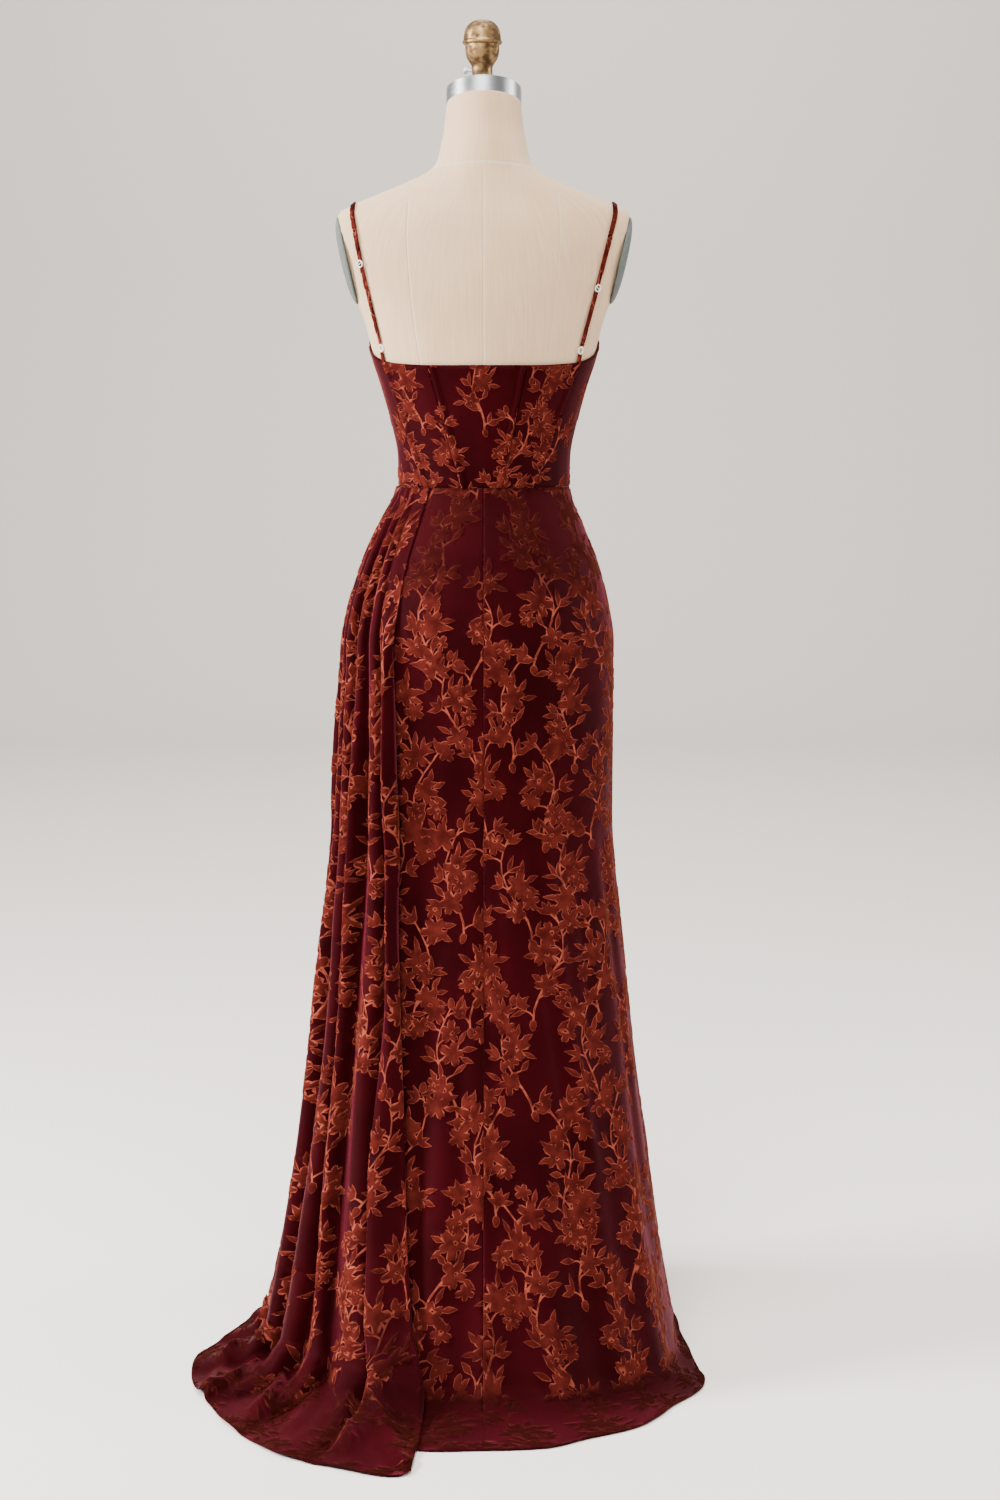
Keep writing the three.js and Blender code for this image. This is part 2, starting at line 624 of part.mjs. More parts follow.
function makeSkirtPanel(name, angles) {
  const last = angles.length - 1;
  const shifts = angles.map((_, i) => (SEAM_GAP / 2) * ((i === 0) - (i === last)));
  const columns = angles.map((angle, i) => skirtWall(angle, shifts[i]));
  addPiece(name, wallBetween(rowsOf(columns.map(({ outer }) => outer)), rowsOf(columns.map(({ inner }) => inner))),
    VELVET);
}

function makeSkirt() {
  makeSkirtPanel("skirt_back_right", steps(0, 90, 16));
  makeSkirtPanel("skirt_back_left", [...steps(-90, -48, 5), ...steps(-41, 0, 7)]);
  makeSkirtPanel("skirt_front", steps(90, 270, 18));
}

// Angle of a pleat's trough at a height
function troughAngle(pleat, z) {
  const columns = Object.keys(PLEATS[0]);
  const line = columns.map((column, index) => ({ z: PLEAT_LEVELS[index], angle: pleat[column] }));
  return sample(line, "z", "angle", z);
}

// Column of the drape: place in its row of pleats, and height of the fold there
function drapeColumn({ pleat, along, rise }) {
  const right = PLEATS[pleat];
  const left = PLEATS[Math.min(pleat + 1, PLEATS.length - 1)];
  const angleAt = (z) => mix(troughAngle(left, z), troughAngle(right, z), along);
  const upright = HANG_LEVELS.map((z) => {
    const angle = -angleAt(z);
    const stand = sample(DRAPE, "z", "stand", z);
    const depth = sample(DRAPE, "z", "depth", z);
    const under = CLOTH_STAND + fluteRise(angle, z);
    return figurePoint(angle, z, under + stand + rise * depth);
  });
  const foot = upright[upright.length - 1];
  const hem = hemPoint(DRAPE_HEM, angleAt(0), -1);
  const depth = DRAPE[DRAPE.length - 1].depth;
  const floor = FLOOR_TURN.map(({ along: share, z }, index) => {
    const point = foot.clone().lerp(hem, share);
    const bearing = THREE.MathUtils.radToDeg(Math.atan2(point.x, -point.y));
    const overHem = Math.hypot(point.x, point.y) < sample(SKIRT_HEM, "angle", "reach", bearing) + HEM_MARGIN;
    const lying = overHem ? Math.max(z, LIFT_OVER_HEM) : z;
    return point.setZ(lying + rise * depth * FLOOR_FOLD_SHARE[index]);
  });
  return [...upright, ...floor];
}

function makeDrape() {
  const places = [];
  for (let pleat = PLEATS.length - 2; pleat >= 0; pleat -= 1) {
    for (const { along, rise } of PLEAT_SHAPE) places.push({ pleat, along, rise });
  }
  places.push({ pleat: 0, along: 1, rise: 0 });
  const outer = rowsOf(places.map(drapeColumn));
  addPiece("side_drape", wallBetween(outer, innerOf(outer, CLOTH_WALL)), VELVET);
}

// The straps

// How far outside the figure a point is: below 1 it is inside
function figureLevel(x, y, z) {
  const section = figureSection(z);
  const angle = THREE.MathUtils.radToDeg(Math.atan2(x, section.centre - y));
  const surface = figurePoint(angle, z, 0);
  return Math.hypot(x, y - section.centre) / Math.hypot(surface.x, surface.y - section.centre);
}

function surfaceY(x, z, side) {
  let inside = figureSection(z).centre;
  let outside = inside + side * FAR_OUT;
  for (let step = 0; step < HALVINGS; step += 1) {
    const middle = (inside + outside) / 2;
    if (figureLevel(x, middle, z) < 1) inside = middle;
    else outside = middle;
  }
  return inside;
}

function surfaceZ(x, y) {
  let inside = ARM_FLAT.z;
  let outside = NECK_TOP;
  for (let step = 0; step < HALVINGS; step += 1) {
    const middle = (inside + outside) / 2;
    if (figureLevel(x, y, middle) < 1) inside = middle;
    else outside = middle;
  }
  return inside;
}

function figureNormal(point) {
  const step = 0.5;
  const level = (dx, dy, dz) => figureLevel(point.x + dx, point.y + dy, point.z + dz);
  return new THREE.Vector3(level(step, 0, 0) - level(-step, 0, 0), level(0, step, 0) - level(0, -step, 0),
    level(0, 0, step) - level(0, 0, -step)).normalize();
}

// Flat ribbon along points on the figure, lifted off it
function ribbon(path) {
  const outer = [];
  const inner = [];
  path.forEach((point, index) => {
    const normal = figureNormal(point);
    const ahead = path[Math.min(index + 1, path.length - 1)].clone().sub(path[Math.max(index - 1, 0)]);
    const aside = ahead.cross(normal).normalize();
    const edge = (side, out) => point.clone().addScaledVector(aside, (side * STRAP.width) / 2)
      .addScaledVector(normal, out);
    outer.push([edge(-1, STRAP.gap + STRAP.thickness), edge(1, STRAP.gap + STRAP.thickness)]);
    inner.push([edge(-1, STRAP.gap), edge(1, STRAP.gap)]);
  });
  return wallBetween(outer, inner);
}

function backPoint(line, x, z) {
  return new THREE.Vector3(line.sign * x, surfaceY(line.sign * x, z, -1), z);
}

// Point of the strap's line at a height on the back
function strapBack(line, z) {
  const { ring, slider } = line;
  const share = (z - ring.z) / (slider.z - ring.z);
  const upper = (z - slider.z) / (SHOULDER_START - slider.z);
  const x = share < 1 ? mix(ring.x, slider.x, share) : mix(slider.x, line.shoulder, upper);
  return backPoint(line, x, z);
}

function strapPath(line, cupTop) {
  const start = line.ring.z + RING.radius + RING.wire + SEAT_GAP;
  const back = steps(start, SHOULDER_START, STRAP.steps).map((z) => strapBack(line, z));
  const x = line.sign * line.shoulder;
  const behind = surfaceY(x, SHOULDER_START, -1);
  const before = surfaceY(x, SHOULDER_START, 1);
  const over = steps(behind, before, 8).slice(1, -1).map((y) => new THREE.Vector3(x, y, surfaceZ(x, y)));
  const front = steps(SHOULDER_START, cupTop, 6).map((z) => {
    const across = mix(line.shoulder, line.cup, (SHOULDER_START - z) / (SHOULDER_START - cupTop));
    return new THREE.Vector3(line.sign * across, surfaceY(line.sign * across, z, 1), z);
  });
  return [...back, ...over, ...front];
}

// Ring that lies flat on the figure, its middle raised by a given height
function flatRing(point, rise) {
  const normal = figureNormal(point);
  const geometry = new THREE.TorusGeometry(RING.radius, RING.wire, RING.section, RING.around);
  geometry.applyQuaternion(new THREE.Quaternion().setFromUnitVectors(new THREE.Vector3(0, 0, 1), normal));
  const centre = point.clone().addScaledVector(normal, rise);
  geometry.translate(centre.x, centre.y, centre.z);
  return geometry;
}

function makeStraps() {
  const cupTop = Math.max(...NECKLINE.map(({ z }) => z)) + STRAP_SEAT;
  for (const [side, line] of Object.entries(STRAP_LINES)) {
    addPiece(`strap_${side}`, ribbon(strapPath(line, cupTop)), VELVET);
    const seamAngle = angleAtX(line.seam, NECKLINE[2].z, 0);
    const seamTop = sample(NECKLINE, "angle", "z", seamAngle) + TAB_LIFT;
    const tabEnd = line.ring.z - RING.radius - RING.wire - SEAT_GAP;
    const tab = steps(seamTop, tabEnd, 2).map((z) => {
      const share = (z - seamTop) / (line.ring.z - seamTop);
      return backPoint(line, mix(line.seam, line.ring.x, share), z);
    });
    addPiece(`strap_tab_${side}`, ribbon(tab), VELVET);
    const wireLift = STRAP.gap + STRAP.thickness / 2;
    addPiece(`strap_ring_${side}`, flatRing(backPoint(line, line.ring.x, line.ring.z), wireLift), CLEAR);
    const sliderLift = STRAP.gap + STRAP.thickness + SEAT_GAP + RING.wire;
    addPiece(`strap_slider_${side}`, flatRing(backPoint(line, line.slider.x, line.slider.z), sliderLift), CLEAR);
  }
}

makeTorso();
makeNeckRing();
makeFinial();
makeFinialScrew();
makeArmPlate("form_arm_plate_left", -1);
makeArmPlate("form_arm_plate_right", 1);
makeStand();
makeBodice();
makeStraps();
makeSkirt();
makeDrape();

export default group;
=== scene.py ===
"""Gives the looks of a strappy prom dress of cut velvet, standing on a limbless dress form.

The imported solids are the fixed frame. Each cloth piece is a thin shell on the same surface
as its solid. Velvet sprays stand up from the satin ground, and the pleats, creases, seams and
bone channels are shaped in the cloth. Sizes are in millimetres, and meshes are in metres.
"""

import logging
import math
import random
from dataclasses import dataclass, field
from enum import Enum
from typing import Callable, Sequence

import bmesh
import bpy
import numpy as np
from mathutils import Matrix, Vector
from mathutils.geometry import delaunay_2d_cdt


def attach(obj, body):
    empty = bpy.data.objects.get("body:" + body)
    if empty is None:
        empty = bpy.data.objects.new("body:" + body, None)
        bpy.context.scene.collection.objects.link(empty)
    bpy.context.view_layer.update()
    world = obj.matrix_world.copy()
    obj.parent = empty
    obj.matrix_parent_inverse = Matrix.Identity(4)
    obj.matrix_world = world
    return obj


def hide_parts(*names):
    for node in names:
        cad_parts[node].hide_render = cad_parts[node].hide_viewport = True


LOG = logging.getLogger("prom_dress")
MM = 0.001
ROOT = "root"

Array = np.ndarray
Piece = bpy.types.Object
Material = bpy.types.Material
Socket = bpy.types.NodeSocket
NodeTree = bpy.types.NodeTree
Pair = tuple[float, float]

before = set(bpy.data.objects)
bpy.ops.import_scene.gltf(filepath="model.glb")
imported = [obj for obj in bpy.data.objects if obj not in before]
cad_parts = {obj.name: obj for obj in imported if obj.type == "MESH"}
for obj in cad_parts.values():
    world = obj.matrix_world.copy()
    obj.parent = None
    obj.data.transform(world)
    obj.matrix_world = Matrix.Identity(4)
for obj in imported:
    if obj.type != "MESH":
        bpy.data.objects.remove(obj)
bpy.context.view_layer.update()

# Sizes that the cloth and the form share with the solids
WAIST = 1120.0
SKIRT_TOP = 1119.85
BODICE_BOTTOM = 1120.15
HANG_END = 42.0
FORM_BOTTOM = 850.0
NECK_TOP = 1602.0
NECK_TILT = math.radians(17)
NECK_TOP_CENTRE_Y = 5.0
SHOULDER_LEVEL = 1463.0
CLOTH_STAND = 3.0
CLOTH_THICKNESS = 1.0

FIGURE_ROWS = [
    # height, half width, front, back, centre, squareness
    (1602, 47.5, 53, 43, 5, 2.0), (1574, 50.5, 53, 49, 2, 2.0), (1550, 55, 50, 58, -4, 2.0),
    (1532, 59.5, 48, 64, -8, 2.0), (1521, 67, 46, 68, -11, 2.0), (1510, 86, 45, 71, -13, 2.0),
    (1500, 109, 43, 74, -15, 2.0), (1488, 138, 42, 77, -17, 2.0), (1476, 167, 44, 81, -17, 2.0),
    (1463, 188, 48, 85, -16, 2.1), (1445, 191, 56, 89, -14, 2.2), (1415, 185, 68, 92, -10, 2.3),
    (1385, 176, 82, 94, -6, 2.3), (1356, 163, 98, 95, -2, 2.3), (1330, 153, 110, 95, 0, 2.3),
    (1302, 145.5, 118, 95, 0, 2.3), (1278, 139, 116, 94, 0, 2.3), (1256, 131.5, 109, 92, 0, 2.25),
    (1205, 117.5, 96, 88, 0, 2.2), (1156, 108.5, 89, 86, 0, 2.15), (1120, 108, 88, 86, 0, 2.1),
    (1072, 125, 94, 104, 0, 2.15), (1026, 143, 100, 122, 0, 2.2), (970, 158, 106, 135, 0, 2.25),
    (922, 165, 108, 139, 0, 2.3), (850, 166, 111, 135, 0, 2.3), (700, 164.5, 118, 131, 0, 2.3),
    (553, 177, 129, 155, -10, 2.2), (391, 194, 145, 195, -32, 2.15), (228, 215, 167, 248, -58, 2.1),
    (118, 230, 185, 290, -76, 2.1), (42, 245, 200, 331, -90, 2.1),
]
BUST_RISE, BUST_ANGLE, BUST_SPREAD = 12.0, 146.0, 26.0
BUST_Z, BUST_HEIGHT, CUP_EASE = 1286.0, 54.0, 0.2
ARM_FLAT_Z, ARM_FLAT_HALF, ARM_FLAT_SLOPE = 1356.0, 161.0, 0.226

NECKLINE = [
    # angle from the centre back, height of the top edge
    (0, 1274), (35, 1274), (60, 1277), (78, 1287), (92, 1300), (115, 1324), (140, 1352),
    (155, 1346), (170, 1312), (180, 1298),
]
BACK_SEAMS = {
    # x of the seam at the top edge and at the waist
    "left_outer": (-127, -76), "left_inner": (-70, -29), "right_inner": (54, 23),
    "right_outer": (121, 63),
}
FRONT_SEAMS = {
    # angle of the seam at the top edge and at the waist
    "left_side": (250, 252), "left_princess": (207, 200), "right_princess": (153, 160),
    "right_side": (110, 108),
}
BONE_WIDTH, BONE_RISE, BONE_SLOPE = 8.0, 2.4, 0.8

SKIRT_HEM = [
    # angle, distance of the hem from the upright axis
    (-180, 228), (-135, 236), (-90, 258), (-75, 276), (-60, 292), (-45, 310), (-30, 350),
    (-20, 402), (-14, 446), (-9, 465), (0, 458), (9, 457), (17, 439), (26, 428), (31.5, 411),
    (37, 392), (46, 377), (52.5, 353), (55, 336), (65, 296), (82, 262), (100, 256), (135, 238),
    (180, 228),
]
FLOOR_TURN = [
    # share of the way out to the hem, height
    (0, 42), (0.04, 31), (0.1, 20.5), (0.2, 12), (0.34, 6.8), (0.55, 3.4), (0.8, 2), (1, 2),
]
FLUTES = [
    # angle above, angle at the hem, height of its start, depth, half width in degrees
    (-14, -16, 560, 9, 7), (1, 2, 620, 7, 5), (19, 24, 470, 11, 8), (40, 42, 520, 9, 6),
    (62, 58, 430, 9, 7), (118, 116, 420, 8, 10), (150, 150, 460, 8, 10), (184, 184, 430, 8, 11),
]
PLEAT_LEVELS = [1120, 895, 600, 325, 125, 0]
PLEAT_TROUGHS = [
    # degrees to the left of the centre back at each level
    (44, 43.5, 39, 30, 22, 10.8), (54, 50, 45, 40, 34, 26), (60.5, 59, 57.5, 55, 50.5, 42),
    (67, 67.5, 65.5, 63, 58, 56), (76, 77, 78, 76, 73, 72), (86, 87, 90, 90, 89, 90),
    (97, 98, 101, 104, 104, 106), (108, 109, 113, 117, 118, 120), (119, 120, 125, 129, 130, 132),
    (130, 131, 136, 140, 141, 143), (141, 142, 146, 149, 151, 153),
]
DRAPE_STAND = [
    # height, how far the drape stands off the skirt, depth of its pleats
    (1120, 1.6, 0.8), (1098, 2.8, 4), (1072, 3.4, 6.5), (1026, 4, 8), (970, 5, 10), (890, 6, 12),
    (780, 9, 18), (690, 12, 21), (490, 13, 20.5), (290, 14, 21.5), (125, 17, 24), (42, 20, 22),
]
DRAPE_HEM = [
    # angle to the left, distance of the hem from the upright axis
    (8.8, 524), (9.5, 541), (12, 547), (19, 539), (26.5, 531), (31.5, 515), (41, 483), (47, 461),
    (49.2, 457), (50.2, 450.5), (51.4, 452.5), (53.5, 447), (59.5, 430), (68.5, 399), (73.5, 372),
    (81.5, 337), (89, 320), (110, 294), (130, 272), (151, 256),
]
FLOOR_FOLDS = [
    # share of the way out to the hem, share of the pleats' height that is left
    (0, 1), (0.13, 0.88), (0.3, 0.72), (0.55, 0.52), (0.8, 0.34), (1, 0.16),
]
LIFT_OVER_HEM = 4.7
HEM_MARGIN = 14.0
SEAM_HALF_GAP = 0.15
SEAM_LEAN = 0.45
PILE_HEIGHT = 0.75
FLOOR_CLEAR = 0.25
LINING_COARSER = 1.7
SPRAY_REACH = 60
FAR_OUT = 900.0
SHORT_STEP = 0.0012


class SmoothCurve:
    """A curve through rows of numbers, without overshoot, and level past its two ends."""

    def __init__(self, places: Sequence[float], values: Sequence[float]) -> None:
        """Works out the slope at each row.

        Args:
            places: Where each value stands, in any order that rises or falls.
            values: The values there.
        """
        order = np.argsort(places)
        self.places = np.asarray(places, float)[order]
        self.values = np.asarray(values, float)[order]
        slopes = np.diff(self.values) / np.diff(self.places)
        before, after = slopes[:-1], slopes[1:]
        bends = before * after > 0
        total = np.where(bends, before + after, 1.0)
        middle = np.where(bends, 2 * before * after / total, 0.0)
        self.tangents = np.concatenate(([slopes[0]], middle, [slopes[-1]]))

    def __call__(self, at: Array) -> Array:
        """Returns the curve's values at the given places.

        Args:
            at: Places along the curve.

        Returns:
            The values there.
        """
        at = np.clip(np.asarray(at, float), self.places[0], self.places[-1])
        low = np.clip(np.searchsorted(self.places, at, side="right") - 1, 0, len(self.places) - 2)
        width = self.places[low + 1] - self.places[low]
        t = (at - self.places[low]) / width
        t2, t3 = t * t, t * t * t
        return ((2 * t3 - 3 * t2 + 1) * self.values[low] + (t3 - 2 * t2 + t) * width * self.tangents[low]
                + (3 * t2 - 2 * t3) * self.values[low + 1] + (t3 - t2) * width * self.tangents[low + 1])


def curve_of(rows: Sequence[Sequence[float]], column: int) -> SmoothCurve:
    """Returns the curve of one column of a table along its first column."""
    return SmoothCurve([row[0] for row in rows], [row[column] for row in rows])


def smooth_step(low: float, high: float, value: Array) -> Array:
    """Returns 0 below low and 1 above high, with an easy rise between."""
    t = np.clip((np.asarray(value, float) - low) / (high - low), 0, 1)
    return t * t * (3 - 2 * t)


def turn_between(a: Array, b: Array) -> Array:
    """Returns the signed difference of two angles in degrees."""
    return (np.asarray(a, float) - b + 540) % 360 - 180


HALF, FRONT, BACK, CENTRE, SQUARE = (curve_of(FIGURE_ROWS, column) for column in range(1, 6))
SKIRT_REACH = curve_of(SKIRT_HEM, 1)
DRAPE_REACH = curve_of(DRAPE_HEM, 1)
NECK_EDGE = curve_of(NECKLINE, 1)
FLOOR_HEIGHT = curve_of(FLOOR_TURN, 1)
FLOOR_FOLD = curve_of(FLOOR_FOLDS, 1)
STAND_OFF, PLEAT_DEPTH = curve_of(DRAPE_STAND, 1), curve_of(DRAPE_STAND, 2)
TROUGHS = [SmoothCurve(PLEAT_LEVELS, row) for row in PLEAT_TROUGHS]


def figure_point(angle: Array, z: Array, out: Array) -> Array:
    """Finds points on the figure's surface.

    Args:
        angle: Degrees round from the centre back, positive to the right.
        z: Heights.
        out: Distances off the form.

    Returns:
        Points as rows of x, y and z, in millimetres.
    """
    angle, z, out = np.broadcast_arrays(np.asarray(angle, float), np.asarray(z, float), np.asarray(out, float))
    side, ahead = np.sin(np.radians(angle)), -np.cos(np.radians(angle))
    aside = (np.abs(turn_between(angle, 0)) - BUST_ANGLE) / BUST_SPREAD
    above = (z - BUST_Z) / BUST_HEIGHT
    bust = BUST_RISE * np.exp(-aside ** 2 - above ** 2)
    spread = out + bust * np.where(out > 0, 1 + CUP_EASE, 1.0)
    centre, power = CENTRE(z), SQUARE(z)
    half = HALF(z) + spread
    reach = np.where(ahead < 0, BACK(z) + centre, FRONT(z) - centre) + spread
    radius = (np.abs(side / half) ** power + np.abs(ahead / reach) ** power) ** (-1 / power)
    return np.stack([radius * side, centre + radius * ahead, z], axis=-1)


def halve(inside: Array, outside: Array, within: Callable[[Array], Array], rounds: int = 34) -> Array:
    """Finds where an edge is passed between places inside and outside it.

    Args:
        inside: Places inside.
        outside: Places outside.
        within: Tells which places are inside.
        rounds: How often the way between them is halved.

    Returns:
        Places just inside the edge.
    """
    for _ in range(rounds):
        middle = (inside + outside) / 2
        held = within(middle)
        inside, outside = np.where(held, middle, inside), np.where(held, outside, middle)
    return inside


def angle_at_x(x: Array, z: Array, out: float) -> Array:
    """Finds the angle on the back at which the figure reaches an x.

    Args:
        x: Places to the right of the centre.
        z: Heights.
        out: Distance off the form.

    Returns:
        Signed angles in degrees.
    """
    low, high = np.zeros_like(z, dtype=float), np.full_like(z, 90.0, dtype=float)
    return np.sign(x) * halve(low, high, lambda angle: figure_point(angle, z, out)[..., 0] < np.abs(x), 30)


def flute_rise(angle: Array, z: Array) -> Array:
    """Returns how far the soft flutes of the lower skirt stand out.

    Args:
        angle: Signed angles in degrees.
        z: Heights.

    Returns:
        Distances out, in millimetres.
    """
    rise = np.zeros_like(np.asarray(angle, float) + z)
    for upper, hem, top, depth, spread in FLUTES:
        centre = hem + (upper - hem) * np.clip(z / top, 0, 1)
        rise += depth * (1 - smooth_step(0.25 * top, top, z)) * np.exp(-(turn_between(angle, centre) / spread) ** 2)
    return rise


def hem_point(reach: SmoothCurve, angle: Array, sign: int) -> Array:
    """Finds where a ray from the middle of the lowest section meets a hem.

    Args:
        reach: Distance of the hem from the upright axis by angle.
        angle: Degrees from the centre back, towards the side given by sign.
        sign: 1 for angles to the right, -1 for angles to the left.

    Returns:
        Points on the floor, z being zero.
    """
    middle = float(CENTRE(HANG_END))
    ahead_x, ahead_y = sign * np.sin(np.radians(angle)), -np.cos(np.radians(angle))

    def within(far: Array) -> Array:
        """Returns whether places that far along their rays are inside the hem."""
        x, y = far * ahead_x, middle + far * ahead_y
        return np.hypot(x, y) < reach(sign * np.degrees(np.arctan2(x, -y)))
    far = halve(np.zeros_like(ahead_x), np.full_like(ahead_x, FAR_OUT), within)
    return np.stack([far * ahead_x, middle + far * ahead_y, np.zeros_like(ahead_x)], axis=-1)


def ripple(u: Array, v: Array, seed: int, waves: int, longest: float) -> Array:
    """Adds up slow waves for the small unevenness of hanging cloth.

    Args:
        u: Places across the cloth.
        v: Places down the cloth.
        seed: Picks the set of waves.
        waves: How many waves are added.
        longest: Length of the longest wave.

    Returns:
        Heights between about -1 and 1.
    """
    rng = random.Random(seed)
    total = np.zeros_like(u)
    for index in range(waves):
        length = longest / (1 + 0.7 * index)
        slant = rng.uniform(-0.5, 0.5)
        phase = rng.uniform(0, 2 * math.pi)
        bend = rng.uniform(0.2, 0.6)
        along = (u + slant * v + bend * length * np.sin(v / (2.3 * length))) * 2 * math.pi / length
        total += np.sin(along + phase) / (1 + 0.8 * index)
    return total / 2


@dataclass(frozen=True)
class Crease:
    """A soft trough or ridge that runs down a piece of cloth.

    Attributes:
        line: Rows of height and angle that it follows, from the top down.
        depth: How far it goes in, or comes out where it is negative.
        width: Half its width, in millimetres.
    """

    line: tuple[Pair, ...]
    depth: float
    width: float

    def offset(self, angle: Array, z: Array) -> Array:
        """Returns how far the cloth moves out at each place.

        Args:
            angle: Signed angles in degrees.
            z: Heights.

        Returns:
            Distances out, in millimetres.
        """
        heights = [row[0] for row in self.line]
        top, bottom = max(heights), min(heights)
        centre = SmoothCurve(heights, [row[1] for row in self.line])(z)
        radius = HALF(z)
        aside = np.radians(turn_between(angle, centre)) * radius / self.width
        fade = min(90.0, (top - bottom) / 2)
        ends = smooth_step(bottom - 8, bottom + fade, z) * (1 - smooth_step(top - fade, top + 8, z))
        return -self.depth * ends * np.exp(-aside ** 2)


@dataclass(frozen=True)
class FloorFold:
    """A soft ridge that runs over the train where it lies on the floor.

    Attributes:
        line: Places that it runs through, as x and y, outwards to the hem.
        height: How far it stands up.
        left: Its half width on its left, seen from behind.
        right: Its half width on its right.
    """

    line: tuple[Pair, ...]
    height: float
    left: float
    right: float

    def rise(self, x: Array, y: Array) -> Array:
        """Returns how far the cloth stands up at each place.

        Args:
            x: Places to the right.
            y: Places to the front.

        Returns:
            Heights in millimetres.
        """
        nearest = np.full_like(x, 1e6)
        side = np.zeros_like(x)
        for (ax, ay), (bx, by) in zip(self.line, self.line[1:]):
            dx, dy = bx - ax, by - ay
            share = np.clip(((x - ax) * dx + (y - ay) * dy) / (dx * dx + dy * dy), 0, 1)
            away = np.hypot(x - ax - share * dx, y - ay - share * dy)
            closer = away < nearest
            side = np.where(closer, dx * (y - ay) - dy * (x - ax), side)
            nearest = np.where(closer, away, nearest)
        return self.height * np.exp(-(nearest / np.where(side > 0, self.right, self.left)) ** 2)


TRAIN_FOLDS = (
    FloorFold(((-295, -89), (-321, -129), (-336, -204), (-345, -274)), 9.0, 9, 13),
    FloorFold(((-262, -90), (-294, -200), (-313, -254), (-343, -291)), 10.0, 13, 7),
    FloorFold(((-242, -215), (-252, -264), (-263, -322), (-270, -350)), 13.0, 13, 6),
    FloorFold(((-205, -290), (-214, -350), (-226, -395)), 7.5, 14, 9),
    FloorFold(((-164, -330), (-162, -409), (-157, -462)), 11.0, 13, 7),
    FloorFold(((-147, -310), (-135, -354), (-126, -394), (-109, -460), (-97, -500)), 9.5, 4.5, 18),
    FloorFold(((-133, -410), (-150, -439), (-172, -470)), 3.5, 9, 9),
    FloorFold(((-285, -100), (-318, -149), (-335, -175)), 4.0, 8, 8),
)
SKIRT_CREASES = (
    Crease(((700, -1), (520, 0.5), (330, 3), (150, 4)), 5.0, 12),
    Crease(((690, 5), (560, 7), (430, 11)), 2.6, 9),
    Crease(((720, 24), (600, 27), (470, 31), (330, 35), (190, 39)), 3.8, 11),
    Crease(((700, 32), (590, 35), (400, 40), (240, 45)), -3.0, 9),
    Crease(((660, 48), (500, 50), (380, 50)), 3.0, 10),
    Crease(((690, 66), (520, 69), (340, 71), (170, 70)), 3.4, 12),
    Crease(((520, -12), (330, -10), (140, -8)), 3.0, 11),
    Crease(((560, -22), (360, -24), (130, -25)), 3.6, 12),
    Crease(((480, 80), (300, 84), (120, 86)), 3.0, 14),
    Crease(((620, 104), (420, 102), (160, 100)), 3.6, 14),
    Crease(((560, 134), (380, 133), (150, 134)), 4.2, 14),
    Crease(((640, 167), (420, 168), (140, 167)), 4.0, 14),
    Crease(((540, 200), (320, 201), (130, 203)), 3.6, 14),
    Crease(((1010, 30), (940, 36), (880, 45)), 1.2, 14),
    Crease(((1096, 20), (1040, 24), (985, 33)), 1.0, 10),
)


def unit(vectors: Array) -> Array:
    """Returns the vectors at a length of 1."""
    return vectors / np.maximum(np.linalg.norm(vectors, axis=-1, keepdims=True), 1e-9)


class ClothSurface:
    """A surface on which a piece of cloth lies, by its share across and its share down."""

    def point(self, s: Array, t: Array) -> Array:
        """Returns the outer points in millimetres at shares s across and t down."""
        raise NotImplementedError

    def normal(self, s: Array, t: Array) -> Array:
        """Returns the outward normals at shares s across and t down.

        Args:
            s: Shares across.
            t: Shares down.

        Returns:
            Vectors of length 1.
        """
        run = self.point(np.minimum(s + SHORT_STEP, 1), t) - self.point(np.maximum(s - SHORT_STEP, 0), t)
        down = self.point(s, np.minimum(t + SHORT_STEP, 1)) - self.point(s, np.maximum(t - SHORT_STEP, 0))
        return unit(np.cross(down, run))

    def across(self, s: Array, t: Array) -> Array:
        """Returns the directions across the cloth at shares s across and t down."""
        return unit(self.point(np.minimum(s + SHORT_STEP, 1), t) - self.point(np.maximum(s - SHORT_STEP, 0), t))

    def painted_shade(self, points: Array, normal: Array) -> Array:
        """Returns the share of painted shade on the velvet at points, most where the cloth faces up or lies flat."""
        return 0.95 * smooth_step(0.3, 0.72, normal[:, 2])


